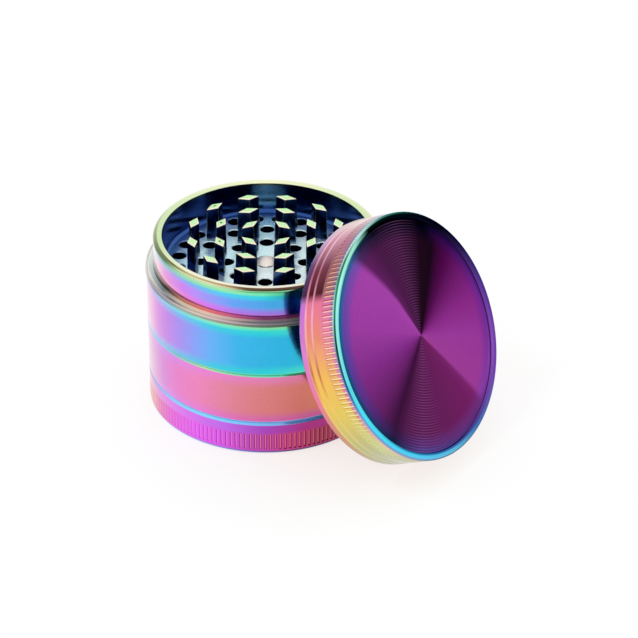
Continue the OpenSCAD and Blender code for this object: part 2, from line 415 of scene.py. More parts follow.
def between(tree, value, low, high):
    """0 below low, 1 above high and a smooth step between."""
    node = tree.nodes.new("ShaderNodeMapRange")
    node.interpolation_type = "SMOOTHSTEP"
    tree.links.new(value, node.inputs["Value"])
    node.inputs["From Min"].default_value = low
    node.inputs["From Max"].default_value = high
    return node.outputs["Result"]


# %% [markdown]
# Every finished piece keeps its place in its mesh, so its object coordinates are the
# grinder's own. That suits the upright pieces. A piece that leans with the lid needs
# them turned back first, which a Mapping node of the Texture kind does.

# %% Helper: a material that knows where it is
def own_coordinates(tree, leaning):
    """Object coordinates, brought back upright where the piece leans with the lid."""
    where = tree.nodes.new("ShaderNodeTexCoord").outputs["Object"]
    if not leaning:
        return where
    upright = tree.nodes.new("ShaderNodeMapping")
    upright.vector_type = "TEXTURE"
    upright.inputs["Location"].default_value = lid_centre
    upright.inputs["Rotation"].default_value = (0.0, lid_tilt, lid_heading)
    tree.links.new(where, upright.inputs["Vector"])
    return upright.outputs["Vector"]


def measured_material(name, leaning):
    """An empty material with its Principled shader and the two groups in place."""
    material = bpy.data.materials.new(name)
    material.use_nodes = True
    tree = material.node_tree
    where = own_coordinates(tree, leaning)
    around = tree.nodes.new("ShaderNodeGroup")
    around.node_tree = axis_group
    tree.links.new(where, around.inputs["Vector"])
    worn = tree.nodes.new("ShaderNodeGroup")
    worn.node_tree = wear_group
    tree.links.new(where, worn.inputs["Vector"])
    for label in ("Radius", "Height"):
        tree.links.new(around.outputs[label], worn.inputs[label])
    return material, tree, tree.nodes["Principled BSDF"], around, worn


def finish_surface(tree, shader, worn, colour, polish, wear, bump_mm):
    """Joins colour, tone, roughness and bumps to the shader."""
    worn.inputs["Polish"].default_value = polish
    worn.inputs["Wear"].default_value = wear
    tone = tree.nodes.new("ShaderNodeVectorMath")
    tone.operation = "SCALE"
    tree.links.new(colour, tone.inputs[0])
    tree.links.new(worn.outputs["Tone"], tone.inputs["Scale"])
    tree.links.new(tone.outputs[0], shader.inputs["Base Color"])
    tree.links.new(worn.outputs["Roughness"], shader.inputs["Roughness"])
    bump = tree.nodes.new("ShaderNodeBump")
    bump.inputs["Strength"].default_value = 1.0
    bump.inputs["Distance"].default_value = bump_mm * mm
    tree.links.new(worn.outputs["Bumps"], bump.inputs["Height"])
    tree.links.new(bump.outputs[0], shader.inputs["Normal"])


# %% Helper: a coated material
def anchored_colour(tree, around, ramps, anchors, across, turn_socket=None):
    """The ramps, faded from one to the next between the anchors."""
    turn_socket = turn_socket or around.outputs["Turn"]
    made = {key: ramp_node(tree, turn_socket, ramps[key]) for key in
            dict.fromkeys(key for _, key in anchors)}
    colour = made[anchors[0][1]]
    for (low, below), (high, above) in zip(anchors, anchors[1:]):
        if below != above:
            colour = mix_node(tree, between(tree, around.outputs[across], low, high),
                              colour, made[above])
    return colour


coat_bump_mm = 0.0015


def coat(name, ramps, anchors, leaning=False, across="Height",
         polish=0.13, wear=1.0, glare=1.0, metal=1.0):
    """A coated metal. glare is how white it turns where it is seen at a flat angle."""
    material, tree, shader, around, worn = measured_material(name, leaning)
    shader.inputs["Metallic"].default_value = metal
    shader.inputs["Specular Tint"].default_value = (glare, glare, glare, 1.0)
    colour = anchored_colour(tree, around, ramps, anchors, across)
    finish_surface(tree, shader, worn, colour, polish, wear, coat_bump_mm)
    return material


# %% [markdown]
# A turned piece is one mesh with several finishes, as the real one is. Cutting it up
# would open it, so each face takes its material by where its centre lies. `near` is
# how far in mm that centre may miss the surface it stands for, and `hair` is the same
# where two finishes meet at an edge.

# %% Helper: dress a piece
near = 0.1
hair = 0.02


def dress(piece, materials, choose=None):
    """Gives the piece its materials. choose(centre, radius, normal) says which one a face takes."""
    piece.data.materials.clear()
    for material in materials:
        piece.data.materials.append(material)
    if choose is None:
        return
    for face in piece.data.polygons:
        centre = face.center / mm
        face.material_index = choose(centre, math.hypot(centre.x, centre.y), face.normal)


# %% [markdown]
# ## The colours of the coat
# Seen from the front, the stack goes from near white pink at its left edge through
# violet to blue and cyan on the tooth chamber, from orchid to salmon on the
# collection chamber, and from magenta to crimson on the base cup. The near white at
# the left edge is a painted highlight, where the metal is seen at a flat angle.
# Behind, the ramps run on through the same colours and close at 180 degrees.
#
# Where two pieces meet, a chamfer on each makes a narrow V. The film is thinner on
# an edge, so these lines are light blue and lime green. They see little of the sky,
# and a full mirror would turn black there, so their coat is only half metallic.

# %% Colours and coats of the seams
seam_ramps = {
    "groove": [
        (-180, (0.20, 0.45, 0.92)), (-90, (0.60, 0.55, 0.75)), (-65, (0.38, 0.45, 0.78)),
        (-48, (0.26, 0.60, 0.92)), (-30, (0.24, 0.66, 0.95)), (-10, (0.20, 0.55, 0.92)),
        (15, (0.20, 0.42, 0.80)), (90, (0.20, 0.30, 0.75)), (180, (0.20, 0.45, 0.92))],
    "groove_roof": [
        (-180, (0.50, 0.70, 0.95)), (-90, (0.80, 0.78, 0.90)), (-50, (0.55, 0.80, 0.96)),
        (0, (0.62, 0.78, 1.0)), (25, (0.65, 0.80, 1.0)), (180, (0.50, 0.70, 0.95))],
    "lime": [
        (-180, (0.40, 0.80, 0.30)), (-90, (0.50, 0.74, 0.85)), (-65, (0.28, 0.66, 0.88)),
        (-45, (0.22, 0.62, 0.58)), (-30, (0.40, 0.76, 0.40)), (-12, (0.20, 0.72, 0.44)),
        (8, (0.12, 0.70, 0.45)), (60, (0.45, 0.78, 0.30)), (120, (0.62, 0.78, 0.25)),
        (180, (0.40, 0.80, 0.30))],
}
half_metal = 0.45
base_seam_coat = coat("base_seam_coat", seam_ramps, [(0.0, "groove")], metal=half_metal)
collection_seam_coat = coat(
    "collection_seam_coat", seam_ramps, [(0.0, "groove_roof")], metal=half_metal)
lime_seam_coat = coat("lime_seam_coat", seam_ramps, [(0.0, "lime")], metal=half_metal)
print(len(seam_ramps), "seam colours")

# %% [markdown]
# The base cup is the warmest band. Its foot shows as a thin dark blue line, and the
# grooves of its knurl take a pinker, lighter coat than the lands between them, a
# painted highlight, so that they read as fine bright lines.

# %% Colours and coats of the base cup
base_ramps = {
    "foot": [
        (-180, (0.10, 0.15, 0.55)), (-80, (0.45, 0.35, 0.60)), (-60, (0.28, 0.50, 0.82)),
        (-35, (0.18, 0.40, 0.85)), (-10, (0.09, 0.20, 0.60)), (15, (0.03, 0.05, 0.22)),
        (180, (0.10, 0.15, 0.55))],
    "base": [
        (-180, (0.30, 0.12, 0.70)), (-120, (0.72, 0.35, 0.72)), (-82, (0.84, 0.50, 0.50)),
        (-70, (0.84, 0.40, 0.44)), (-62, (0.82, 0.26, 0.54)), (-50, (0.82, 0.18, 0.76)),
        (-35, (0.78, 0.15, 0.86)), (-20, (0.70, 0.12, 0.78)), (-6, (0.52, 0.08, 0.48)),
        (12, (0.54, 0.06, 0.25)), (28, (0.34, 0.05, 0.10)), (100, (0.60, 0.10, 0.30)),
        (180, (0.30, 0.12, 0.70))],
    "base_high": [
        (-180, (0.25, 0.15, 0.75)), (-82, (0.84, 0.45, 0.58)), (-60, (0.80, 0.30, 0.78)),
        (-40, (0.72, 0.20, 0.86)), (-20, (0.56, 0.16, 0.84)), (0, (0.40, 0.07, 0.52)),
        (20, (0.40, 0.04, 0.22)), (100, (0.45, 0.10, 0.45)), (180, (0.25, 0.15, 0.75))],
    "base_knurl": [
        (-180, (0.40, 0.18, 0.76)), (-82, (0.90, 0.58, 0.58)), (-60, (0.86, 0.30, 0.62)),
        (-35, (0.88, 0.22, 0.90)), (-18, (0.80, 0.20, 0.70)), (-4, (0.72, 0.19, 0.40)),
        (12, (0.66, 0.15, 0.24)), (30, (0.48, 0.12, 0.16)), (180, (0.50, 0.25, 0.80))],
}
seam_fade = 0.06
base_coat = coat("base_coat", {**base_ramps, **seam_ramps}, [
    (0.6, "foot"), (0.8, "base"), (4.6, "base"), (5.4, "base_high"),
    (base_top - seam_chamfer - 0.05, "base_high"),
    (base_top - seam_chamfer + seam_fade, "groove")])
base_groove_coat_and_highlight = coat("base_groove_coat_and_highlight", base_ramps, [(0.0, "base_knurl")])
print(len(base_ramps), "base colours")

# %% [markdown]
# The collection chamber is a plain band, so its whole look is in how the film drifts
# and in the painted highlight at its left edge: one ramp for the middle and one for
# the zone near each edge, faded over about 3 mm.

# %% Colours and coat of the collection chamber
collection_ramps = {
    "collection_low": [
        (-180, (0.55, 0.15, 0.62)), (-82, (0.86, 0.45, 0.62)), (-55, (0.72, 0.30, 0.80)),
        (-30, (0.82, 0.22, 0.66)), (-10, (0.72, 0.16, 0.46)), (20, (0.55, 0.11, 0.34)),
        (100, (0.70, 0.18, 0.30)), (180, (0.55, 0.15, 0.62))],
    "collection": [
        (-180, (0.62, 0.22, 0.62)), (-120, (0.75, 0.45, 0.80)), (-82, (0.86, 0.52, 0.66)),
        (-70, (0.76, 0.42, 0.68)), (-58, (0.72, 0.28, 0.70)), (-47, (0.82, 0.24, 0.61)),
        (-32, (0.85, 0.25, 0.50)), (-18, (0.77, 0.24, 0.35)), (-5, (0.71, 0.22, 0.24)),
        (18, (0.62, 0.18, 0.15)), (60, (0.70, 0.32, 0.12)), (120, (0.75, 0.22, 0.30)),
        (180, (0.62, 0.22, 0.62))],
    "collection_high": [
        (-180, (0.65, 0.20, 0.72)), (-82, (0.84, 0.50, 0.72)), (-55, (0.68, 0.30, 0.82)),
        (-30, (0.84, 0.24, 0.66)), (-8, (0.78, 0.22, 0.50)), (20, (0.68, 0.18, 0.34)),
        (100, (0.72, 0.28, 0.30)), (180, (0.65, 0.20, 0.72))],
}
collection_coat = coat("collection_coat", {**collection_ramps, **seam_ramps}, [
    (collection_low + seam_chamfer - seam_fade, "groove_roof"),
    (collection_low + seam_chamfer + 0.05, "collection_low"),
    (collection_low + 3.2, "collection"), (collection_top - 3.4, "collection"),
    (collection_top - edge_chamfer - 0.15, "collection_high"),
    (collection_top - edge_chamfer + 0.05, "lime")])
print(len(collection_ramps), "collection chamber colours")

# %% [markdown]
# The tooth chamber's band is blue with greener edges. Just below the shoulder its
# colour changes three times, so three ramps follow each other closely there.

# %% Colours and coat of the tooth chamber
chamber_ramps = {
    "chamber": [
        (-180, (0.10, 0.40, 0.85)), (-140, (0.38, 0.30, 0.88)), (-105, (0.80, 0.45, 0.75)),
        (-82, (0.92, 0.55, 0.68)), (-70, (0.84, 0.42, 0.70)), (-62, (0.70, 0.28, 0.73)),
        (-54, (0.58, 0.25, 0.77)), (-45, (0.43, 0.28, 0.85)), (-35, (0.27, 0.36, 0.91)),
        (-25, (0.14, 0.45, 0.91)), (-12, (0.05, 0.46, 0.80)), (11, (0.03, 0.45, 0.72)),
        (60, (0.06, 0.62, 0.60)), (110, (0.30, 0.72, 0.40)), (150, (0.08, 0.52, 0.70)),
        (180, (0.10, 0.40, 0.85))],
    "chamber_edge": [
        (-180, (0.10, 0.60, 0.62)), (-120, (0.45, 0.45, 0.80)), (-80, (0.82, 0.55, 0.72)),
        (-62, (0.50, 0.42, 0.82)), (-45, (0.22, 0.50, 0.86)), (-25, (0.06, 0.60, 0.76)),
        (0, (0.03, 0.63, 0.66)), (60, (0.15, 0.75, 0.45)), (130, (0.40, 0.80, 0.30)),
        (180, (0.10, 0.60, 0.62))],
    "chamber_top": [
        (-180, (0.12, 0.65, 0.60)), (-110, (0.50, 0.60, 0.60)), (-80, (0.45, 0.42, 0.44)),
        (-68, (0.38, 0.38, 0.55)), (-56, (0.33, 0.62, 0.84)), (-38, (0.19, 0.74, 0.78)),
        (-20, (0.15, 0.80, 0.58)), (5, (0.09, 0.72, 0.43)), (120, (0.30, 0.78, 0.35)),
        (180, (0.12, 0.65, 0.60))],
    "shoulder": [
        (-180, (0.30, 0.70, 0.40)), (-100, (0.60, 0.62, 0.48)), (-72, (0.19, 0.16, 0.22)),
        (-58, (0.17, 0.26, 0.36)), (-42, (0.27, 0.60, 0.52)), (-25, (0.33, 0.75, 0.50)),
        (0, (0.24, 0.67, 0.35)), (120, (0.45, 0.75, 0.30)), (180, (0.30, 0.70, 0.40))],
}
chamber_coat = coat("chamber_coat", {**chamber_ramps, **seam_ramps}, [
    (chamber_low + edge_chamfer - 0.02, "lime"),
    (chamber_low + edge_chamfer + 0.35, "chamber_edge"),
    (chamber_low + 2.8, "chamber"), (shoulder - 3.0, "chamber"),
    (shoulder - 1.3, "chamber_edge"), (shoulder - 0.7, "chamber_top"),
    (shoulder - 0.3, "shoulder")])
print(len(chamber_ramps), "tooth chamber colours")

# %% [markdown]
# The collar is ground to a slip fit for the lid, and its rim is rounded over. Round
# the rim the ramps are mostly painted light: a painted highlight along the inner edge,
# then painted shade outwards, from pale yellow through olive and brown, so these
# ramps fade with the radius and not with the height.

# %% Colours and coats of the collar and its rim
collar_ramps = {
    "collar_foot": [
        (-180, (0.50, 0.15, 0.55)), (-90, (0.75, 0.72, 0.75)), (-72, (0.18, 0.15, 0.12)),
        (-60, (0.14, 0.06, 0.03)), (-48, (0.85, 0.34, 0.24)), (-30, (1.0, 0.30, 0.38)),
        (-12, (0.95, 0.22, 0.66)), (8, (0.85, 0.18, 0.66)), (100, (0.35, 0.08, 0.45)),
        (180, (0.50, 0.15, 0.55))],
    "collar_low": [
        (-180, (0.40, 0.22, 0.85)), (-90, (0.90, 0.86, 0.82)), (-75, (0.56, 0.42, 0.38)),
        (-60, (0.96, 0.48, 0.56)), (-42, (0.84, 0.22, 0.70)), (-28, (0.70, 0.19, 0.86)),
        (-10, (0.40, 0.19, 0.78)), (10, (0.28, 0.18, 0.68)), (100, (0.30, 0.30, 0.75)),
        (180, (0.40, 0.22, 0.85))],
    "collar": [
        (-180, (0.10, 0.40, 0.90)), (-120, (0.60, 0.40, 0.80)), (-82, (0.86, 0.78, 0.82)),
        (-70, (0.94, 0.58, 0.72)), (-60, (0.80, 0.32, 0.68)), (-45, (0.64, 0.23, 0.86)),
        (-30, (0.36, 0.32, 0.93)), (-15, (0.14, 0.37, 0.90)), (5, (0.06, 0.37, 0.74)),
        (100, (0.20, 0.55, 0.70)), (180, (0.10, 0.40, 0.90))],
    # collar_high and rim_lip darken at 15 degrees: a painted reflection of the leaning lid.
    "collar_high": [
        (-180, (0.06, 0.55, 0.60)), (-82, (0.86, 0.92, 0.85)), (-68, (0.68, 0.58, 0.77)),
        (-55, (0.48, 0.38, 0.80)), (-40, (0.23, 0.43, 0.90)), (-22, (0.09, 0.61, 0.88)),
        (0, (0.04, 0.63, 0.73)), (15, (0.02, 0.32, 0.32)), (100, (0.15, 0.70, 0.50)),
        (180, (0.06, 0.55, 0.60))],
    "rim_lip": [
        (-180, (0.20, 0.60, 0.45)), (-82, (0.70, 0.82, 0.72)), (-62, (0.24, 0.50, 0.45)),
        (-45, (0.28, 0.68, 0.46)), (-20, (0.28, 0.80, 0.42)), (0, (0.17, 0.78, 0.44)),
        (15, (0.05, 0.36, 0.20)), (90, (0.30, 0.70, 0.40)), (180, (0.20, 0.60, 0.45))],
    # The outer and shade ramps of the rim are near white at the back, a painted highlight, and dark
    # in two stretches at the front, painted shade that is darkest by the lid.
    "rim_outer": [
        (-180, (1.0, 1.0, 1.0)), (-120, (0.94, 0.97, 0.86)), (-90, (0.50, 0.58, 0.42)),
        (-74, (0.12, 0.20, 0.10)), (-60, (0.10, 0.22, 0.09)), (-48, (0.60, 0.76, 0.36)),
        (-28, (0.86, 0.82, 0.46)), (-16, (0.60, 0.55, 0.30)), (-8, (0.09, 0.08, 0.03)),
        (12, (0.06, 0.03, 0.015)), (90, (0.60, 0.70, 0.45)), (120, (0.94, 0.97, 0.84)),
        (180, (1.0, 1.0, 1.0))],
    "rim_shade": [
        (-180, (1.0, 1.0, 0.94)), (-120, (0.80, 0.88, 0.62)), (-88, (0.32, 0.38, 0.21)),
        (-68, (0.18, 0.22, 0.09)), (-54, (0.17, 0.18, 0.06)), (-40, (0.60, 0.50, 0.26)),
        (-20, (0.46, 0.32, 0.17)), (-10, (0.14, 0.08, 0.04)), (12, (0.12, 0.06, 0.04)),
        (28, (0.03, 0.015, 0.02)), (60, (0.50, 0.50, 0.26)), (120, (0.78, 0.86, 0.58)),
        (180, (1.0, 1.0, 0.94))],
    # The bright ramp is a painted highlight along the inner edge of the rim.
    "rim_painted_highlight": [
        (-180, (0.92, 0.94, 0.62)), (-120, (0.68, 0.82, 0.50)), (-80, (0.60, 0.78, 0.42)),
        (-45, (0.86, 0.88, 0.64)), (0, (0.88, 0.85, 0.74)), (60, (0.76, 0.80, 0.52)),
        (120, (0.66, 0.80, 0.46)), (180, (0.92, 0.94, 0.62))],
}
collar_coat = coat("collar_coat", collar_ramps, [
    (glide_top + 0.5, "collar_foot"), (glide_top + 1.3, "collar_low"), (glide_top + 3.0, "collar"),
    (glide_top + 3.8, "collar"), (collar_top - 1.6, "collar_high"), (collar_top - 1.1, "rim_lip"),
    (collar_top - 0.8, "rim_lip"), (collar_top - 0.45, "rim_outer")])
# The rim's coat is mostly painted highlight and painted shade.
rim_coat = coat("rim_coat", collar_ramps, [
    (collar_bore_r + 0.3, "rim_painted_highlight"), (collar_bore_r + 0.95, "rim_painted_highlight"),
    (collar_bore_r + 1.2, "rim_shade"), (collar_r - 0.4, "rim_shade"),
    (collar_r - 0.15, "rim_outer")], across="Radius")
print(len(collar_ramps), "collar colours")

# %% [markdown]
# Inside the tooth chamber the coat is dark: navy walls, dark blue sides on the teeth
# and a light blue floor, which is less polished than the rest. The floor darkens
# towards the wall with painted shade, and the back wall holds a painted reflection.
# The tops of the teeth were milled after casting and came out mint green; a pale pink
# painted highlight runs along each edge, and an olive one up each upright edge.

# %% Colours inside the chambers
inner_ramps = {
    # The teal stretch at the back, from 169 degrees round to -169, is a painted reflection.
    "wall": [
        (-180, (0.10, 0.24, 0.42)), (-171, (0.10, 0.24, 0.42)), (-169, (0.03, 0.07, 0.30)),
        (-120, (0.03, 0.07, 0.28)), (-95, (0.06, 0.18, 0.48)), (-60, (0.03, 0.07, 0.30)),
        (60, (0.03, 0.08, 0.30)), (110, (0.05, 0.14, 0.42)), (150, (0.03, 0.07, 0.28)),
        (169, (0.03, 0.07, 0.30)), (171, (0.10, 0.24, 0.42)), (180, (0.10, 0.24, 0.42))],
    "wall_lip": [
        (-180, (0.16, 0.20, 0.10)), (-120, (0.05, 0.09, 0.05)), (0, (0.05, 0.09, 0.05)),
        (120, (0.05, 0.09, 0.05)), (180, (0.16, 0.20, 0.10))],
    "wall_low": [
        (-180, (0.03, 0.08, 0.28)), (0, (0.04, 0.10, 0.34)), (180, (0.03, 0.08, 0.28))],
    "floor": [
        (-180, (0.70, 0.95, 1.0)), (-90, (0.64, 0.93, 1.0)), (0, (0.88, 1.0, 1.0)),
        (90, (0.80, 0.98, 1.0)), (180, (0.70, 0.95, 1.0))],
    # The floor's edge ramp is painted shade: it darkens the floor towards the wall, least at the
    # front.
    "floor_edge_painted_shade": [
        (-180, (0.04, 0.11, 0.34)), (-90, (0.07, 0.20, 0.46)), (0, (0.40, 0.70, 0.85)),
        (90, (0.08, 0.22, 0.48)), (180, (0.04, 0.11, 0.34))],
    "tooth_side": [
        (-180, (0.03, 0.07, 0.21)), (-60, (0.035, 0.08, 0.22)), (60, (0.035, 0.085, 0.18)),
        (180, (0.03, 0.07, 0.21))],
    # The ridge and edge ramps of the teeth are painted highlights: olive up the upright edges and
    # pale along the border of each top.
    "tooth_ridge_painted_highlight": [
        (-180, (0.46, 0.54, 0.24)), (0, (0.54, 0.60, 0.28)), (180, (0.46, 0.54, 0.24))],
    "tooth_top": [
        (-180, (0.55, 0.90, 0.46)), (0, (0.60, 0.92, 0.50)), (180, (0.55, 0.90, 0.46))],
    "tooth_edge": [
        (-180, (0.92, 0.90, 0.62)), (0, (0.95, 0.82, 0.64)), (180, (0.92, 0.90, 0.62))],
}
print(len(inner_ramps), "inside colours")

# %% [markdown]
# The lid's teeth and hollow wear the same coats as the chamber's. They only need
# them a second time because a leaning piece measures its height and radius along
# the lid's own axis. One function therefore makes the teeth's coats for both.

# %% Coats inside the chambers and the lid
wall_coat = coat("wall_coat", inner_ramps, [
    (floor_top + 0.5, "wall_low"), (floor_top + 2.5, "wall"), (collar_top - 1.0, "wall"),
    (collar_top - 0.4, "wall_lip")], polish=0.16)
floor_coat = coat("floor_coat", inner_ramps, [
    (16.5, "floor"), (20.5, "floor_edge_painted_shade")], across="Radius", polish=0.3, wear=1.4, metal=0.8)
inner_polish = 0.2
tooth_polish = {"tooth_side": 0.16, "tooth_top": 0.25, "tooth_edge": 0.2, "tooth_ridge_painted_highlight": 0.2}


def tooth_coats(prefix, leaning):
    """The coats of a tooth's side, top, sloped border and upright edge, in this order;
    the last two are painted highlights.
    """
    return [coat(f"{prefix}{zone}_coat", inner_ramps, [(0.0, zone)], leaning=leaning, polish=polish)
            for zone, polish in tooth_polish.items()]


inner_coat = coat("inner_coat", inner_ramps, [(0.0, "wall_low")], polish=inner_polish)
lid_inner_coat = coat(
    "lid_inner_coat", inner_ramps, [(0.0, "wall_low")], leaning=True, polish=inner_polish)
chamber_tooth_coats = tooth_coats("", False)
lid_tooth_coats = tooth_coats("lid_", True)
print(len(chamber_tooth_coats), "coats on each tooth")

# %% [markdown]
# The lid carries the whole rainbow: its side runs from tan and maroon through pink,
# salmon and orange to yellow, and its rim from nearly black at the top through teal
# and mint to cyan. The nearly black stretch at the top is painted reflection, as on
# the face beside it. Five ramps follow each other from the bore to the outer edge.

# %% Colours of the lid's rim
lid_rim_ramps = {
    "rim_line": [
        (-180, (0.10, 0.14, 0.30)), (-120, (0.20, 0.40, 0.42)), (-85, (0.55, 0.80, 0.82)),
        (-66, (0.60, 0.86, 0.86)), (-52, (0.12, 0.36, 0.32)), (-35, (0.36, 0.80, 0.76)),
        (-18, (0.17, 0.26, 0.34)), (0, (0.26, 0.24, 0.56)), (20, (0.55, 0.38, 0.58)),
        (60, (0.35, 0.42, 0.50)), (180, (0.10, 0.14, 0.30))],
    "rim_edge": [
        (-180, (0.02, 0.09, 0.30)), (-150, (0.01, 0.03, 0.10)), (-125, (0.01, 0.06, 0.07)),
        (-96, (0.05, 0.24, 0.20)), (-78, (0.48, 0.80, 0.72)), (-62, (0.04, 0.16, 0.08)),
        (-42, (0.03, 0.24, 0.14)), (-20, (0.004, 0.03, 0.02)), (0, (0.02, 0.11, 0.28)),
        (15, (0.14, 0.33, 0.68)), (60, (0.22, 0.38, 0.60)), (110, (0.12, 0.34, 0.46)),
        (150, (0.03, 0.14, 0.42)), (180, (0.02, 0.11, 0.34))],
    "rim_flat": [
        (-180, (0.07, 0.04, 0.26)), (-155, (0.012, 0.008, 0.05)), (-140, (0.003, 0.003, 0.010)),
        (-84, (0.002, 0.010, 0.008)), (-71, (0.33, 0.82, 0.66)), (-50, (0.38, 0.96, 0.78)),
        (-20, (0.28, 0.86, 0.78)), (0, (0.10, 0.74, 0.78)), (22, (0.06, 0.77, 0.96)),
        (60, (0.09, 0.58, 0.88)), (82, (0.11, 0.48, 0.72)), (105, (0.05, 0.16, 0.42)),
        (135, (0.16, 0.06, 0.42)), (158, (0.17, 0.05, 0.40)), (180, (0.08, 0.03, 0.26))],
    "rim_bevel": [
        (-180, (0.12, 0.04, 0.30)), (-155, (0.02, 0.008, 0.06)), (-140, (0.004, 0.003, 0.010)),
        (-84, (0.002, 0.006, 0.008)), (-68, (0.06, 0.18, 0.18)), (-56, (0.22, 0.66, 0.62)),
        (-42, (0.32, 0.90, 0.84)), (-15, (0.26, 0.92, 0.88)), (10, (0.14, 0.88, 0.90)),
        (26, (0.09, 0.70, 0.86)), (45, (0.03, 0.28, 0.50)), (75, (0.02, 0.11, 0.36)),
        (110, (0.08, 0.045, 0.30)), (150, (0.28, 0.08, 0.48)), (180, (0.12, 0.04, 0.30))],
    "rim_step": [
        (-180, (0.12, 0.04, 0.22)), (-150, (0.02, 0.008, 0.05)), (-84, (0.002, 0.006, 0.008)),
        (-68, (0.06, 0.18, 0.18)), (-42, (0.25, 0.75, 0.72)), (10, (0.12, 0.70, 0.80)),
        (45, (0.03, 0.28, 0.50)), (90, (0.08, 0.06, 0.30)), (125, (0.17, 0.05, 0.28)),
        (180, (0.12, 0.04, 0.22))],
}
print(len(lid_rim_ramps), "rim colours")

# %% [markdown]
# The side is one band in the drawing but has five zones on the real lid: the rounded
# end of the skirt, the skirt up to the first V-line, the plain side, the knurl, and
# a narrow bevel up to the rim. V-lines and knurl grooves have their own coats, and
# the grooves' coat is lighter, a painted highlight. The near black stretch a little
# left of the front on the end, skirt and side is a painted reflection.

# %% Colours of the lid's side
lid_side_ramps = {
    "end": [
        (-180, (0.10, 0.08, 0.25)), (-90, (0.14, 0.10, 0.14)), (-60, (0.03, 0.02, 0.08)),
        (-38, (0.15, 0.07, 0.26)), (-16, (0.18, 0.12, 0.30)), (0, (0.60, 0.17, 0.24)),
        (20, (0.28, 0.08, 0.08)), (38, (0.62, 0.48, 0.30)), (60, (0.72, 0.74, 0.55)),
        (180, (0.10, 0.08, 0.25))],
    "skirt": [
        (-180, (0.45, 0.30, 0.85)), (-90, (0.62, 0.46, 0.53)), (-78, (0.58, 0.36, 0.62)),
        (-62, (0.12, 0.05, 0.18)), (-46, (0.06, 0.02, 0.06)), (-42, (0.56, 0.18, 0.66)),
        (-20, (0.68, 0.22, 0.62)), (0, (0.84, 0.22, 0.36)), (20, (0.70, 0.30, 0.20)),
        (45, (0.46, 0.42, 0.25)), (110, (0.20, 0.55, 0.60)), (180, (0.45, 0.30, 0.85))],
    "side": [
        (-180, (0.40, 0.30, 0.85)), (-130, (0.72, 0.36, 0.62)), (-94, (0.76, 0.52, 0.50)),
        (-80, (0.64, 0.27, 0.36)), (-60, (0.17, 0.03, 0.06)), (-46, (0.08, 0.01, 0.015)),
        (-42, (0.82, 0.19, 0.32)), (-25, (0.84, 0.28, 0.18)), (-6, (0.90, 0.52, 0.11)),
        (12, (0.78, 0.60, 0.12)), (35, (0.52, 0.52, 0.24)), (60, (0.44, 0.50, 0.42)),
        (120, (0.14, 0.48, 0.65)), (180, (0.40, 0.30, 0.85))],
    "line": [
        (-180, (0.60, 0.45, 0.90)), (-90, (0.78, 0.62, 0.64)), (-75, (0.88, 0.50, 0.64)),
        (-58, (0.42, 0.13, 0.20)), (-46, (0.62, 0.24, 0.34)), (-38, (0.92, 0.40, 0.60)),
        (-24, (0.90, 0.42, 0.40)), (-11, (0.58, 0.20, 0.09)), (5, (0.92, 0.54, 0.14)),
        (32, (0.66, 0.62, 0.26)), (60, (0.50, 0.54, 0.40)), (180, (0.60, 0.45, 0.90))],
    "knurl": [
        (-180, (0.42, 0.30, 0.80)), (-94, (0.60, 0.44, 0.45)), (-76, (0.46, 0.18, 0.26)),
        (-58, (0.34, 0.12, 0.13)), (-46, (0.40, 0.17, 0.18)), (-42, (0.72, 0.17, 0.38)),
        (-28, (0.84, 0.26, 0.38)), (-12, (0.82, 0.40, 0.16)), (8, (0.80, 0.58, 0.13)),
        (30, (0.64, 0.66, 0.28)), (60, (0.48, 0.54, 0.36)), (110, (0.16, 0.50, 0.55)),
        (180, (0.42, 0.30, 0.80))],
    "knurl_groove": [
        (-180, (0.60, 0.50, 0.85)), (-90, (0.80, 0.55, 0.55)), (-60, (0.80, 0.42, 0.32)),
        (-45, (0.85, 0.48, 0.36)), (-32, (0.95, 0.58, 0.58)), (-8, (0.95, 0.72, 0.45)),
        (15, (0.90, 0.86, 0.42)), (50, (0.72, 0.80, 0.52)), (120, (0.40, 0.70, 0.70)),
        (180, (0.60, 0.50, 0.85))],
    "side_top": [
        (-180, (0.30, 0.45, 0.80)), (-90, (0.28, 0.42, 0.48)), (-72, (0.27, 0.17, 0.32)),
        (-50, (0.22, 0.16, 0.26)), (-38, (0.38, 0.22, 0.44)), (-20, (0.64, 0.26, 0.50)),
        (0, (0.74, 0.25, 0.43)), (12, (0.68, 0.26, 0.28)), (32, (0.80, 0.60, 0.36)),
        (60, (0.50, 0.45, 0.38)), (180, (0.30, 0.45, 0.80))],
}
print(len(lid_side_ramps), "side colours")

# %% [markdown]
# The side's ramps follow each other with the height, and the rim's with the radius.
# Both end in the rim's outermost ramp, so that no seam shows where they meet at the
# bevel. A low glare keeps the rim's own colours where it is seen at a flat angle.

# %% Coats of the lid's side and rim
lid_side_coat = coat("lid_side_coat", {**lid_side_ramps, **lid_rim_ramps}, [
    (0.35, "end"), (0.55, "skirt"), (1.5, "skirt"), (1.9, "side"), (5.8, "side"),
    (6.4, "knurl"), (8.0, "knurl"), (8.8, "side_top"), (9.1, "side_top"), (9.35, "rim_line")],
    leaning=True)
lid_line_coat = coat("lid_line_coat", lid_side_ramps, [(0.0, "line")], leaning=True)
lid_groove_coat_and_highlight = coat("lid_groove_coat_and_highlight", lid_side_ramps, [(0.0, "knurl_groove")], leaning=True)
lid_rim_coat = coat("lid_rim_coat", lid_rim_ramps, [
    (face_r + 0.04, "rim_step"), (face_r + 0.08, "rim_bevel"), (face_r + 0.3, "rim_bevel"),
    (face_r + 0.7, "rim_flat"), (lid_r - 0.42, "rim_flat"), (lid_r - 0.27, "rim_edge"),
    (lid_r - 0.1, "rim_edge"), (lid_r - 0.02, "rim_line")],
    leaning=True, across="Radius", polish=0.1, glare=0.2)
print("coats of the lid's shell are mixed")
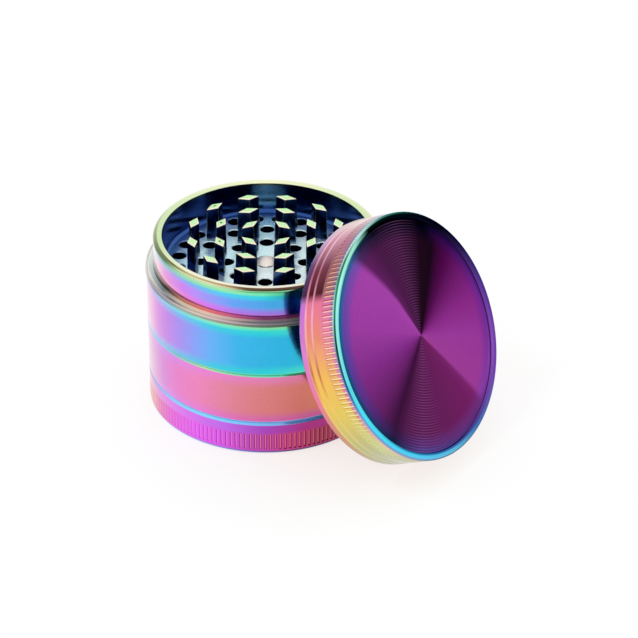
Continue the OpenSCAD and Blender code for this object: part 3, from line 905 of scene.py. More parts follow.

# %% [markdown]
# The turned face is purple, and light catches its fine rings in bright and dark
# sectors that meet in the middle. That is how a facing cut looks. The ramp round the
# axis paints those sectors into the colour as painted reflection; the fine rings are
# real ridges in the mesh with painted shade between them. One more ramp paints in
# which directions single rings flash, a painted highlight.

# %% Colours of the lid's face
lid_face_film_and_reflection_ramps = {
    "face": [
        (-180, (0.27, 0.03, 0.26)), (-150, (0.09, 0.008, 0.08)), (-136, (0.015, 0.006, 0.014)),
        (-124, (0.018, 0.006, 0.015)), (-104, (0.055, 0.011, 0.05)), (-84, (0.075, 0.013, 0.07)),
        (-72, (0.12, 0.018, 0.12)), (-67, (0.40, 0.06, 0.42)), (-30, (0.35, 0.05, 0.38)),
        (0, (0.23, 0.028, 0.25)), (22, (0.14, 0.018, 0.14)), (36, (0.045, 0.008, 0.045)),
        (46, (0.09, 0.014, 0.075)), (110, (0.18, 0.02, 0.13)), (118, (0.21, 0.025, 0.16)),
        (122, (0.37, 0.055, 0.33)), (155, (0.35, 0.05, 0.35)), (180, (0.27, 0.03, 0.26))],
    "face_violet": [
        (-180, (0.20, 0.03, 0.30)), (-150, (0.06, 0.01, 0.10)), (-130, (0.006, 0.004, 0.012)),
        (-100, (0.012, 0.007, 0.020)), (-84, (0.03, 0.012, 0.05)), (-72, (0.07, 0.025, 0.12)),
        (-67, (0.19, 0.08, 0.44)), (-20, (0.12, 0.06, 0.38)), (10, (0.10, 0.035, 0.26)),
        (38, (0.03, 0.012, 0.06)), (60, (0.10, 0.03, 0.18)), (117, (0.18, 0.035, 0.20)),
        (122, (0.28, 0.06, 0.40)), (180, (0.20, 0.03, 0.30))],
    "face_edge": [
        (-180, (0.12, 0.03, 0.28)), (-150, (0.03, 0.01, 0.09)), (-128, (0.003, 0.003, 0.007)),
        (-90, (0.003, 0.004, 0.010)), (-76, (0.015, 0.025, 0.07)), (-66, (0.045, 0.12, 0.33)),
        (-35, (0.02, 0.13, 0.32)), (0, (0.01, 0.07, 0.22)), (24, (0.02, 0.04, 0.14)),
        (38, (0.01, 0.015, 0.05)), (60, (0.07, 0.05, 0.24)), (110, (0.12, 0.035, 0.20)),
        (140, (0.28, 0.07, 0.46)), (180, (0.12, 0.03, 0.28))],
    # A painted highlight: how strongly single ring crests flash in each direction.
    "painted_flash": [
        (-180, (0.0, 0.0, 0.0)), (-124, (0.0, 0.0, 0.0)), (-106, (0.30, 0.30, 0.30)),
        (-88, (0.04, 0.04, 0.04)), (-70, (0.0, 0.0, 0.0)), (42, (0.0, 0.0, 0.0)),
        (60, (0.42, 0.42, 0.42)), (82, (0.05, 0.05, 0.05)), (110, (0.0, 0.0, 0.0)),
        (180, (0.0, 0.0, 0.0))],
}
print(len(lid_face_film_and_reflection_ramps), "face colours")

# %% [markdown]
# A facing cut leaves one groove per turn of the lathe. Between two ridges the coat is
# painted darker, so the group below gives a painted shade that repeats with the
# pitch. The face of the lid and both magnets use it, each with its own pitch.

# %% Group: painted ring shade
ring_shade_group, start, end = new_group(
    "painted_ring_shade", [("Radius", "NodeSocketFloat"), ("Pitch", "NodeSocketFloat"),
                     ("Depth", "NodeSocketFloat")], ["Shade", "Ridge"])
phase = math_node(ring_shade_group, "MULTIPLY", math_node(
    ring_shade_group, "DIVIDE", start.outputs["Radius"], start.outputs["Pitch"]), 2 * math.pi)
ridge = math_node(ring_shade_group, "MULTIPLY_ADD", math_node(ring_shade_group, "COSINE", phase), 0.5, 0.5)
ring_shade_group.links.new(ridge, end.inputs["Ridge"])
valley = math_node(ring_shade_group, "SUBTRACT", 1.0, ridge)
ring_shade_group.links.new(math_node(ring_shade_group, "SUBTRACT", 1.0, math_node(
    ring_shade_group, "MULTIPLY", valley, start.outputs["Depth"])), end.inputs["Shade"])
print("group:", ring_shade_group.name)


# %% [markdown]
# A sector of light on a turned face has straight edges only if the face is flat. This
# one is crowned, and one edge of its bright sector is bent by a few degrees. So the
# turn is shifted with the radius, but only in a window round that edge.

# %% Helper: bend the sectors
bend_from_r, bend_to_r = 9.0, 23.5
bend_inner, bend_outer = 5.5, -2.5
window_opens = (0.20, 0.27)
window_closes = (0.34, 0.42)


def swirled(tree, around):
    """Turn, bent a little with the radius at one edge of the bright sector."""
    bend = tree.nodes.new("ShaderNodeMapRange")
    tree.links.new(around.outputs["Radius"], bend.inputs["Value"])
    for label, value in (("From Min", bend_from_r), ("From Max", bend_to_r),
                         ("To Min", bend_inner / 360), ("To Max", bend_outer / 360)):
        bend.inputs[label].default_value = value
    window = math_node(tree, "SUBTRACT", between(tree, around.outputs["Turn"], *window_opens),
                       between(tree, around.outputs["Turn"], *window_closes))
    return math_node(tree, "MULTIPLY_ADD", bend.outputs["Result"], window, around.outputs["Turn"])


# %% [markdown]
# A faced surface is a coat as the others are, with three things more: painted shade
# between its rings, anisotropic reflection as brushed metal has, and on the crests of
# the rings, in a few directions, a painted highlight in a colour of its own.

# %% Helper: a turned face
painted_flash_colour = (0.30, 0.10, 0.30)
crest_sharpness = 3.0
ring_bump_mm = 0.001


def turned(name, ramps, anchors, pitch, depth, leaning, polish, anisotropy, glare=1.0):
    """A coat on a faced surface, with painted shade between its rings and painted glints."""
    material, tree, shader, around, worn = measured_material(name, leaning)
    shader.inputs["Metallic"].default_value = 1.0
    shader.inputs["Specular Tint"].default_value = (glare, glare, glare, 1.0)
    shader.inputs["Anisotropic"].default_value = anisotropy
    turn_socket = swirled(tree, around) if "painted_flash" in ramps else around.outputs["Turn"]
    colour = anchored_colour(tree, around, ramps, anchors, "Radius", turn_socket)
    rings = tree.nodes.new("ShaderNodeGroup")
    rings.node_tree = ring_shade_group
    rings.inputs["Pitch"].default_value = pitch
    rings.inputs["Depth"].default_value = depth
    tree.links.new(around.outputs["Radius"], rings.inputs["Radius"])
    shaded = tree.nodes.new("ShaderNodeVectorMath")
    shaded.operation = "SCALE"
    tree.links.new(colour, shaded.inputs[0])
    tree.links.new(rings.outputs["Shade"], shaded.inputs["Scale"])
    finished = shaded.outputs[0]
    if "painted_flash" in ramps:
        # A painted highlight: ring crests flash in the directions the ramp picks.
        crest = math_node(tree, "POWER", rings.outputs["Ridge"], crest_sharpness)
        here = math_node(tree, "MULTIPLY", crest, ramp_node(
            tree, around.outputs["Turn"], ramps["painted_flash"]))
        finished = mix_node(tree, here, finished, painted_flash_colour)
    finish_surface(tree, shader, worn, finished, polish, 1.0, ring_bump_mm)
    return material


# %% [markdown]
# Both magnets are faced on a lathe too, with finer rings and painted shade between
# them, and plated with nickel that looks pinkish beside the blue floor.

# %% Turned face of the lid and plate of the magnets
ring_step = 0.55
magnet_ring_step = 0.3
lid_face_coat_and_reflection = turned(
    "lid_face_coat_and_reflection", lid_face_film_and_reflection_ramps, [(19.5, "face"), (22.4, "face_violet"), (23.1, "face_edge")],
    pitch=ring_step, depth=0.15, leaning=True, polish=0.24, anisotropy=0.6, glare=0.3)
magnet_ramps = {
    "plate": [(-180, (0.96, 0.86, 0.78)), (0, (1.0, 0.90, 0.82)), (180, (0.96, 0.86, 0.78))]}
magnet_plate, lid_magnet_plate = [
    turned(name, magnet_ramps, [(0.0, "plate")], pitch=magnet_ring_step, depth=0.08,
           leaning=leaning, polish=0.3, anisotropy=0.3)
    for name, leaning in (("magnet_plate", False), ("lid_magnet_plate", True))]
print("turned faces are ready")

# %% [markdown]
# The plastic ring between lid and chamber is a clear, slightly milky washer. What
# shows is mostly what lies behind it, so it is part clear and part body colour, and
# its body colour is painted reflection that wanders round the ring as the light behind
# it does, light at the left and dark beside the lid, with painted shade on its outer
# side. Steel parts inside are plain: a satin ring and a wire screen.

# %% Colours of the plastic ring
plastic_and_reflection_ramps = {
    "inner": [
        (-180, (0.62, 0.60, 0.56)), (-95, (0.76, 0.82, 0.80)), (-74, (0.50, 0.60, 0.60)),
        (-60, (0.17, 0.26, 0.27)), (-46, (0.62, 0.66, 0.52)), (-30, (0.88, 0.76, 0.52)),
        (-18, (0.70, 0.62, 0.44)), (0, (0.19, 0.20, 0.17)), (30, (0.20, 0.17, 0.14)),
        (180, (0.62, 0.60, 0.56))],
    "middle": [
        (-180, (0.60, 0.58, 0.54)), (-74, (0.80, 0.80, 0.70)), (-62, (0.44, 0.46, 0.44)),
        (-50, (0.12, 0.10, 0.10)), (-38, (0.50, 0.50, 0.32)), (-22, (0.62, 0.45, 0.38)),
        (-8, (0.13, 0.13, 0.14)), (30, (0.08, 0.08, 0.07)), (180, (0.60, 0.58, 0.54))],
    "edge": [
        (-180, (0.62, 0.60, 0.58)), (-90, (0.92, 0.90, 0.86)), (-68, (0.34, 0.30, 0.34)),
        (-52, (0.36, 0.35, 0.38)), (-32, (0.74, 0.58, 0.50)), (-18, (0.58, 0.44, 0.44)),
        (0, (0.23, 0.21, 0.24)), (30, (0.14, 0.14, 0.13)), (180, (0.62, 0.60, 0.58))],
    "side": [
        (-180, (0.50, 0.48, 0.46)), (-90, (0.88, 0.86, 0.80)), (-62, (0.15, 0.17, 0.23)),
        (-40, (0.30, 0.35, 0.33)), (-22, (0.29, 0.27, 0.25)), (0, (0.09, 0.11, 0.09)),
        (30, (0.05, 0.06, 0.04)), (180, (0.50, 0.48, 0.46))],
}
print(len(plastic_and_reflection_ramps), "colours on the plastic ring")

# %% [markdown]
# Plastic and steel have no film, so their materials need fewer values than a coat
# does. They still use ramps and the wear group, and steel is simply metallic.

# %% Helper: a plain material
plain_bump_mm = 0.002
plastic_ior = 1.45


def plain_material(name, ramps, anchors, metallic, polish, wear, transmission=0.0):
    """An uncoated material, with its colour fixed by the radius."""
    material, tree, shader, around, worn = measured_material(name, False)
    shader.inputs["Metallic"].default_value = metallic
    shader.inputs["Transmission Weight"].default_value = transmission
    shader.inputs["IOR"].default_value = plastic_ior
    colour = anchored_colour(tree, around, ramps, anchors, "Radius")
    finish_surface(tree, shader, worn, colour, polish, wear, plain_bump_mm)
    return material


# %% Plastic and steel
steel_ramps = {
    "ring": [(-180, (0.60, 0.60, 0.62)), (0, (0.66, 0.66, 0.68)), (180, (0.60, 0.60, 0.62))],
    "wire": [(-180, (0.48, 0.48, 0.50)), (0, (0.54, 0.54, 0.56)), (180, (0.48, 0.48, 0.50))]}
clear_plastic = plain_material("clear_plastic", plastic_and_reflection_ramps, [
    (glide_r - 1.05, "inner"), (glide_r - 0.7, "middle"), (glide_r - 0.4, "middle"),
    (glide_r - 0.2, "edge"), (glide_r - 0.06, "edge"), (glide_r - 0.01, "side")],
    metallic=0.0, polish=0.16, wear=0.6, transmission=0.08)
satin_steel, wire_steel = [
    plain_material(name, steel_ramps, [(0.0, zone)], metallic=1.0, polish=polish, wear=1.5)
    for name, zone, polish in (("satin_steel", "ring", 0.32), ("wire_steel", "wire", 0.38))]
print("plastic and steel are ready")

# %% [markdown]
# ## The knurl
# Fine straight grooves let wet fingers turn the base cup and the lid. On the real
# piece a wheel presses them in. Here the band is turned in twice as many columns as
# there are grooves, and every second column is inset and sunk. A Boolean with a ring
# of wedges would cut them too, but it is slow and leaves slivers. This way gives
# sloped walls and a flat land between them, all in one operation.

# %% Helper: cut a knurl
groove_count = 152
groove_depth = 0.2
groove_slope = 0.13
groove_floor_off = 0.15


def cut_knurl(piece, band_r, low, high):
    column = math.pi / groove_count

    def sunk(centre, radius, normal):
        in_band = radius > band_r - groove_depth / 2 and low < centre.z < high
        return in_band and int((math.atan2(centre.y, centre.x) % (2 * math.pi)) / column) % 2 == 0

    pick_faces(piece, sunk)
    bpy.ops.mesh.inset(thickness=groove_slope * mm, depth=-groove_depth * mm, use_individual=True)
    leave_edit()
    print(f"{piece.name}: {sum(face.select for face in piece.data.polygons)} grooves")


# %% [markdown]
# ## Threads
# The necks of the base cup and of the collection chamber carry a thread of 1 mm
# pitch. It is a triangle swept along a helix by the Screw modifier, a separate
# ridge on a plain core, because only a narrow slit of it ever shows.

# %% Helper: a thread ridge
thread_pitch = 1.0
thread_turns = 2
thread_steps = 72
thread_lift = 0.9
ridge_r = 0.34
ridge_off = 0.1


def thread(name, low):
    deselect()
    bpy.ops.mesh.primitive_circle_add(
        vertices=3, radius=ridge_r * mm, rotation=(math.pi / 2, 0, 0),
        location=((neck_core_r + ridge_off) * mm, 0, low * mm))
    ridge_piece = bpy.context.object
    ridge_piece.name = name
    apply_place(ridge_piece)
    for point in ridge_piece.data.vertices:
        point.co.x = min(point.co.x, thread_r * mm)
    screw = ridge_piece.modifiers.new("helix", "SCREW")
    screw.axis = "Z"
    screw.screw_offset = thread_pitch * mm
    screw.iterations = thread_turns
    screw.steps = screw.render_steps = thread_steps
    bpy.ops.object.modifier_apply(modifier="helix")
    edit(ridge_piece)
    bpy.ops.mesh.select_all(action="SELECT")
    bpy.ops.mesh.remove_doubles(threshold=weld_mm * mm)
    bpy.ops.mesh.fill_holes(sides=3)
    bpy.ops.mesh.select_all(action="SELECT")
    bpy.ops.mesh.normals_make_consistent(inside=False)
    leave_edit()
    smooth(ridge_piece)
    return ridge_piece


# %% [markdown]
# ## The base cup
# The lowest piece is a shallow knurled cup that catches the finest powder, with a
# threaded neck on top. A cylinder could be inset and extruded into it, but a turned
# cross-section states each diameter once. The chamfer at the top leaves half of the
# V-groove that shows as a light blue line.

# %% Turn the base cup
lathe_steps = 2 * groove_count
base_knurl_low = 1.1
base_knurl_high = 4.8
cup_floor = 1.6
cup_slope = 1.0
foot_chamfer = 0.5
base_cup = lathe("base_cup_shell", [
    (0, cup_floor, 0), (bore_r - cup_slope, cup_floor, 0.2),
    (bore_r, cup_floor + cup_slope, 0.4), (bore_r, base_neck_top, 0.2),
    (neck_core_r, base_neck_top, 0.2), (neck_core_r, base_top, 0),
    (body_r - seam_chamfer, base_top, 0.08), (body_r, base_top - seam_chamfer, 0.1),
    (body_r, base_knurl_high, 0), (body_r, base_knurl_low, 0),
    (body_r, foot_chamfer, 0.12), (body_r - foot_chamfer, 0, 0.12), (0, 0, 0)], lathe_steps)
cut_knurl(base_cup, body_r, base_knurl_low, base_knurl_high)
smooth(base_cup, 35)


def base_zone(centre, radius, normal):
    """0 outside, 1 inside, 2 grooves of the knurl, 3 the chamfer under the V-groove."""
    if radius < bore_r + near and centre.z > 1:
        return 1
    if radius > body_r - seam_chamfer - near and centre.z > base_top - seam_chamfer + hair:
        return 3
    sunk = neck_core_r < radius < body_r - groove_floor_off
    return 2 if sunk and base_knurl_low < centre.z < base_knurl_high else 0


dress(base_cup, [base_coat, inner_coat, base_groove_coat_and_highlight, base_seam_coat], base_zone)
base_thread = thread("base_thread", base_top + thread_lift)
dress(base_thread, [base_coat])

# %% [markdown]
# ## The collection chamber
# A plain polished band. Its neck matches the base cup's, and a ledge inside holds
# the screen from above. The screen and its ring are small plain solids that no one
# sees until the chambers are unscrewed, so they keep their CAD shape and only get
# a steel finish.

# %% Turn the collection chamber
fitting_gap = 0.05
screen_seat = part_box("screen_ring")[0].z / mm - fitting_gap
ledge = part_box("screen")[1].z / mm + fitting_gap
ledge_t = 0.8
ledge_top = ledge + ledge_t
seat_r = 22.3
clear_r = 20.4
plain_steps = 192
collection = lathe("collection_chamber_shell", [
    (socket_r, collection_low, 0.1), (body_r - seam_chamfer, collection_low, 0.08),
    (body_r, collection_low + seam_chamfer, 0.1), (body_r, collection_top - edge_chamfer, 0.08),
    (body_r - edge_chamfer, collection_top, 0.06), (neck_core_r, collection_top, 0),
    (neck_core_r, collection_neck_top, 0.2), (bore_r, collection_neck_top, 0.2),
    (bore_r, ledge_top + bore_r - clear_r, 0.2), (clear_r, ledge_top, 0.1), (clear_r, ledge, 0),
    (seat_r, ledge, 0), (seat_r, screen_seat, 0), (socket_r, screen_seat, 0)], plain_steps)
smooth(collection, 35)


def collection_zone(centre, radius, normal):
    """0 outside, 1 inside, 2 the chamfer over the V-groove, 3 the top edge."""
    if radius < neck_core_r - near:
        return 1
    if radius > body_r - seam_chamfer - near and centre.z < collection_low + seam_chamfer - hair:
        return 2
    if radius > body_r - edge_chamfer - near and centre.z > collection_top - edge_chamfer + hair:
        return 3
    return 0


dress(collection, [collection_coat, inner_coat, collection_seam_coat,
                   lime_seam_coat], collection_zone)
collection_thread = thread("collection_thread", collection_top + thread_lift)
dress(collection_thread, [collection_coat])
dress(frame["nodes"]["screen_ring"], [satin_steel])
dress(frame["nodes"]["screen"], [wire_steel])

# %% [markdown]
# ## The tooth chamber
# The heart of the grinder. Its shell is turned in one piece: band, shoulder, collar,
# floor and the small pocket for the magnet. Then the holes are drilled by a Boolean
# with all cutters joined, each one a drill with a short countersink on top.

# %% Turn the tooth chamber
wall_slope = 0.6
socket_depth = 3.8
under_slope = 0.8
boss_r = magnet_r + 1.1
boss_h = 0.55
chamber = lathe("tooth_chamber_shell", [
    (0, magnet_low - fitting_gap, 0), (magnet_r + fitting_gap, magnet_low - fitting_gap, 0),
    (magnet_r + fitting_gap, floor_top, 0.08), (collar_bore_r - wall_slope, floor_top, 0.3),
    (collar_bore_r, floor_top + wall_slope, 0.3), (collar_bore_r, collar_top, 0.3),
    (collar_r, collar_top, rim_rounding), (collar_r, shoulder, 0),
    (body_r - edge_chamfer, shoulder, 0.06), (body_r, shoulder - edge_chamfer, 0.08),
    (body_r, chamber_low + edge_chamfer, 0.08), (body_r - edge_chamfer, chamber_low, 0.06),
    (socket_r, chamber_low, 0.1), (socket_r, chamber_low + socket_depth, 0),
    (bore_r, chamber_low + socket_depth + socket_r - bore_r, 0.3),
    (bore_r, floor_low - under_slope, 0.3), (bore_r - under_slope, floor_low, 0.3),
    (boss_r, floor_low, 0), (boss_r, floor_low - boss_h, 0.15), (0, floor_low - boss_h, 0)],
    plain_steps)

# %% [markdown]
# The floor has round holes between the teeth, through which the ground herb falls.
# A drill is modelled once. Its cylinder ends just below the floor's surface, and the
# end face is extruded and widened into the countersink, then extruded once more so
# that the cutter stands clear of the metal.

# %% Make one drill
hole_r = 1.5
drill_h = 3.0
countersink_depth = 0.15
countersink_h = 0.2
countersink_share = 1.14
drill_clear = 0.5
drill_centre = floor_top - (countersink_depth + drill_h / 2)
deselect()
bpy.ops.mesh.primitive_cylinder_add(
    vertices=28, radius=hole_r * mm, depth=drill_h * mm, location=(0, 0, drill_centre * mm))
drill = bpy.context.object
drill.name = "drill"
pick_faces(drill, lambda centre, radius, normal: normal.z > 0.9)
bpy.ops.mesh.extrude_region_move(TRANSFORM_OT_translate={"value": (0, 0, countersink_h * mm)})
bpy.ops.transform.resize(value=(countersink_share, countersink_share, 1))
bpy.ops.mesh.extrude_region_move(TRANSFORM_OT_translate={"value": (0, 0, drill_clear * mm)})
leave_edit()
apply_place(drill)
print("drill reaches", round(max(v.co.z for v in drill.data.vertices) / mm, 2), "mm")

# %% [markdown]
# The holes lie on three rings. Every copy of the drill has its own place, all copies
# are joined, and one Boolean cuts them at once, which is quicker and cleaner than a
# Boolean for each hole. The exact solver copes with the many flat faces.

# %% Drill the floor
hole_rings = [(8, 8.2, 0.0), (12, 13.8, 0.0), (24, 18.4, 7.5)]
drills = []
for count, ring_r, first in hole_rings:
    for i in range(count):
        place = (Matrix.Rotation(math.radians(first + i * 360 / count), 4, "Z")
                 @ Matrix.Translation((ring_r * mm, 0, 0)))
        drills.append(own_copy(drill, "drill_copy", place))
deselect()
for cutter in drills:
    cutter.select_set(True)
bpy.context.view_layer.objects.active = drills[0]
bpy.ops.object.join()
cutters = bpy.context.object
deselect()
chamber.select_set(True)
bpy.context.view_layer.objects.active = chamber
drilling = chamber.modifiers.new("drilling", "BOOLEAN")
drilling.operation = "DIFFERENCE"
drilling.solver = "EXACT"
drilling.object = cutters
bpy.ops.object.modifier_apply(modifier="drilling")
for spent in (cutters, drill):
    bpy.data.objects.remove(spent)
smooth(chamber, 35)
rim_zone_h = 0.3
wall_zone_low = 0.15


def chamber_zone(centre, radius, normal):
    """0 band, 1 collar, 2 rim, 3 inner wall, 4 floor, 5 below and in the holes, 6 bottom edge."""
    if radius > body_r - edge_chamfer - near and centre.z < chamber_low + edge_chamfer - hair:
        return 6
    if centre.z > collar_top - rim_zone_h and radius > collar_bore_r - near / 2:
        return 2
    if radius > collar_r - near / 2 and centre.z > shoulder + near / 2:
        return 1
    if radius > socket_r + near:
        return 0
    if centre.z > floor_top + wall_zone_low and radius > collar_bore_r - wall_slope - near:
        return 3
    faces_up = normal.z > 0.3
    return 4 if faces_up and centre.z > floor_top - 0.3 else 5


dress(chamber, [chamber_coat, collar_coat, rim_coat, wall_coat, floor_coat, inner_coat,
                lime_seam_coat], chamber_zone)
print("tooth chamber:", len(chamber.data.polygons), "faces")

# %% [markdown]
# ## Teeth
# Each tooth is a diamond-shaped post. One is modelled: a cylinder with four sides,
# stretched to its two diagonals and bevelled. It is a little wider at its root, so that
# the casting leaves its mould. It is then copied on three rings, each ring with four
# more teeth than the one inside it. An Array modifier would be quicker, but copies
# with their own mesh can each have their own flaws.

# %% Model one tooth
tooth_long = 4.5
tooth_short = 2.2
tooth_root = 0.4
tooth_border = 0.15
tooth_crown = 0.08
tooth_draft = 1.14
tooth_edge = 0.11


def diamond(name, low, high, top_sign):
    """A diamond post. Its free end carries a sloped border and a small raised land."""
    low, high = (low, high - tooth_crown) if top_sign > 0 else (low + tooth_crown, high)
    deselect()
    bpy.ops.mesh.primitive_cylinder_add(
        vertices=4, radius=mm, depth=(high - low) * mm, location=(0, 0, (low + high) / 2 * mm))
    tooth = bpy.context.object
    tooth.name = name
    apply_place(tooth)
    edit(tooth)
    bpy.ops.mesh.select_all(action="SELECT")
    bpy.ops.transform.resize(value=(tooth_short / 2, tooth_long / 2, 1))
    bpy.ops.mesh.bevel(offset=tooth_edge * mm, segments=2, affect="EDGES")
    leave_edit()
    pick_faces(tooth, lambda centre, radius, normal: normal.z * top_sign > 0.99)
    bpy.ops.mesh.inset(thickness=tooth_border * mm, depth=tooth_crown * mm)
    leave_edit()
    for point in tooth.data.vertices:
        if (point.co.z / mm - (low + high) / 2) * top_sign < 0:
            point.co.x *= tooth_draft
            point.co.y *= tooth_draft
    smooth(tooth, 25)
    return tooth


def tooth_finish(top_sign, tip):
    """0 side, 1 top, 2 sloped border, 3 upright edge, for a tooth with its tip at that height."""
    def choose(centre, radius, normal):
        if normal.z * top_sign > 0.98:
            return 1
        if abs(centre.z - tip) < tooth_crown + 0.14 and normal.z * top_sign > 0.2:
            return 2
        return 3 if abs(normal.x) > 0.95 or abs(normal.y) > 0.6 else 0
    return choose


tooth = diamond("tooth", floor_top - tooth_root, tooth_top, 1)
dress(tooth, chamber_tooth_coats, tooth_finish(1, tooth_top))
print("tooth:", len(tooth.data.polygons), "faces")

# %% [markdown]
# A cast tooth often has a flaw: a pin hole in its top where gas escaped, or a nick
# from the cutter. Three teeth get a pin hole and one at the front has a nick, so
# that the set doesn't look like one tooth stamped many times.

# %% Set the chamber's teeth
first_ring_r = 4.8
ring_pitch = 5.4
teeth_per_ring = 4
pin_holes = {(3, 135.0), (2, 157.5), (2, 202.5)}
pin_border = 0.4
pin_share = 0.6
pin_depth = 0.35
nicked = (3, 285.0)
nick_place = Vector((0.55, 0.1, -0.12))
nick_facing = (-0.62, -0.1, 0.78)


def ring_places(inner_r):
    for ring in (1, 2, 3):
        count = ring * teeth_per_ring
        for i in range(count):
            degrees = (i + 0.5) * 360 / count
            place = (Matrix.Rotation(math.radians(degrees), 4, "Z")
                     @ Matrix.Translation(((inner_r + (ring - 1) * ring_pitch) * mm, 0, 0)))
            yield ring, degrees, place


def punch_pin_hole(piece):
    pick_faces(piece, lambda centre, radius, normal: normal.z > 0.99 and centre.z > tooth_top - 0.02)
    bpy.ops.mesh.inset(thickness=pin_border * mm)
    bpy.ops.transform.resize(value=(pin_share, pin_share, 1))
    bpy.ops.mesh.extrude_region_move(TRANSFORM_OT_translate={"value": (0, 0, -pin_depth * mm)})
    leave_edit()
    for face in piece.data.polygons:
        if face.center.z < (tooth_top - 0.1) * mm and face.normal.z > 0.9:
            face.material_index = 0


chamber_teeth = []
for ring, degrees, place in ring_places(first_ring_r):
    piece = own_copy(tooth, f"chamber_tooth_{ring}_{round(degrees)}", place)
    if (ring, degrees) in pin_holes:
        punch_pin_hole(piece)
    if (ring, degrees) == nicked:
        corner = place @ Vector((0, -tooth_long / 2 * mm, tooth_top * mm))
        edit(piece)
        bpy.ops.mesh.select_all(action="SELECT")
        bpy.ops.mesh.bisect(plane_co=corner + nick_place * mm, plane_no=nick_facing,
                            use_fill=True, clear_outer=True)
        leave_edit()
    chamber_teeth.append(piece)
bpy.data.objects.remove(tooth)
print(len(chamber_teeth), "teeth in the chamber")

# %% [markdown]
# ## Magnet and plastic ring
# A small nickel-plated disc sits in the middle of the floor and holds the lid by its
# own magnet. The plastic ring lies on the shoulder round the collar, with a shallow
# groove on top, and keeps metal from rubbing on metal.

# %% Turn the magnet and the ring
magnet_steps = 64
washer_gap = 0.02
washer_chamfer_low = 0.2
washer_chamfer = 0.25
lip_out, groove_mid, lip_in = 0.4, 0.55, 0.8
groove_sink = 0.2
chamber_magnet = lathe("chamber_magnet_disc", [
    (0, magnet_low, 0), (magnet_r, magnet_low, 0.12), (magnet_r, magnet_top, 0.18),
    (0, magnet_top, 0)], magnet_steps)
smooth(chamber_magnet)
dress(chamber_magnet, [magnet_plate])
glide_ring = lathe("glide_ring_washer", [
    (collar_r + washer_gap, shoulder, 0), (glide_r - washer_chamfer_low, shoulder, 0.1),
    (glide_r, shoulder + washer_chamfer_low, 0.15), (glide_r, glide_top - washer_chamfer, 0.12),
    (glide_r - washer_chamfer, glide_top, 0.1), (glide_r - lip_out, glide_top, 0.05),
    (glide_r - groove_mid, glide_top - groove_sink, 0.1), (glide_r - lip_in, glide_top, 0.08),
    (collar_r + washer_gap, glide_top, 0.05)], plain_steps)
smooth(glide_ring, 40)
dress(glide_ring, [clear_plastic])

# %% [markdown]
# ## The lid
# The shell has a skirt that slides over the collar, two V-lines, a knurl near the
# rim and a bevelled rim. Inside are a hollow and a post for the second magnet. Its
# turned face is a separate thin lens: it needs hundreds of fine rings but far fewer
# steps round the axis than the knurl does.

# %% Turn the lid's shell
knurl_low = 6.3
knurl_high = lid_h - 0.45
post_r = 3.3
post_tip = 0.9
post_top = post_tip + 1.6
skirt_chamfer = 0.4
rim_chamfer = 0.3
rim_land_r = lid_r - 0.9
rim_step_r = face_r + 0.12
rim_step_h = lid_h - 0.14
line_half = 0.3
line_depth = 0.28
lid_line_heights = (2.05, 3.8)
lines = [corner for height in lid_line_heights for corner in (
    (lid_r, height - line_half, 0.04), (lid_r - line_depth, height, 0.05),
    (lid_r, height + line_half, 0.04))]
lid_shell = lathe("lid_shell", [
    (0, post_top, 0), (magnet_r + fitting_gap, post_top, 0),
    (magnet_r + fitting_gap, post_tip, 0.05), (post_r, post_tip, 0.25), (post_r, lid_hollow, 0),
    (lid_bore_r, lid_hollow, 0.6), (lid_bore_r, skirt_chamfer, 0.1),
    (lid_bore_r + skirt_chamfer, 0, 0.1), (lid_r - skirt_chamfer, 0, 0.12),
    (lid_r, skirt_chamfer, 0.15), *lines, (lid_r, knurl_low, 0), (lid_r, knurl_high, 0),
    (lid_r, lid_h - rim_chamfer, 0.08), (lid_r - rim_chamfer, lid_h, 0.08),
    (rim_land_r, lid_h, 0.08), (rim_step_r, rim_step_h, 0.06), (face_r, face_low, 0),
    (face_r - 0.1, face_low - 0.1, 0), (0, face_low + 0.5, 0)], lathe_steps)
cut_knurl(lid_shell, lid_r, knurl_low, knurl_high)
smooth(lid_shell, 35)


def lid_zone(centre, radius, normal):
    """0 side, 1 rim, 2 inside, 3 V-lines, 4 grooves of the knurl."""
    if centre.z > lid_h - 0.36 and radius > face_r - 0.05:
        return 1
    if radius < lid_bore_r + 0.3:
        return 2
    if radius < lid_r - 0.03 and any(abs(centre.z - at) < line_half for at in lid_line_heights):
        return 3
    return 4 if radius < lid_r - groove_floor_off and knurl_low < centre.z < knurl_high else 0


dress(lid_shell, [lid_side_coat, lid_rim_coat, lid_inner_coat, lid_line_coat,
                  lid_groove_coat_and_highlight], lid_zone)

# %% [markdown]
# The face is crowned: it rises by about a millimetre from its edge to the middle.
# Every 0.55 mm one ridge is left standing, 12 thousandths of a millimetre
# high. That is far too small to see as a shape, but it breaks up the reflection into
# fine arcs, as the real tool marks do, and the face's coat adds painted shade between
# them. A bump map could draw them in the render, but ridges in the mesh go wherever
# the mesh goes.

# %% Turn the lid's face
ridge_h = 0.006
lens_edge_t = 0.3
lens_steps = 144


def crown(radius):
    return face_low + face_rise * (1 - (radius / face_r) ** 2)


face_rings = [(0, crown(0), 0)]
for i in range(1, 2 * int(face_r / ring_step) + 1):
    radius = i * ring_step / 2
    face_rings.append((radius, crown(radius) + (ridge_h if i % 2 == 0 else -ridge_h), 0))
face_rings += [
    (face_r, face_low, 0), (face_r, face_low - lens_edge_t, 0), (0, face_low + lens_edge_t, 0)]
lid_face = lathe("lid_face", face_rings, lens_steps)
smooth(lid_face, 60)
dress(lid_face, [lid_face_coat_and_reflection])

# %% [markdown]
# The lid's teeth hang from its hollow, on rings that lie halfway between those of the
# chamber, so that both sets pass each other when the lid turns. The same helper
# makes them with their free end down. Its magnet stands out a little from the post.

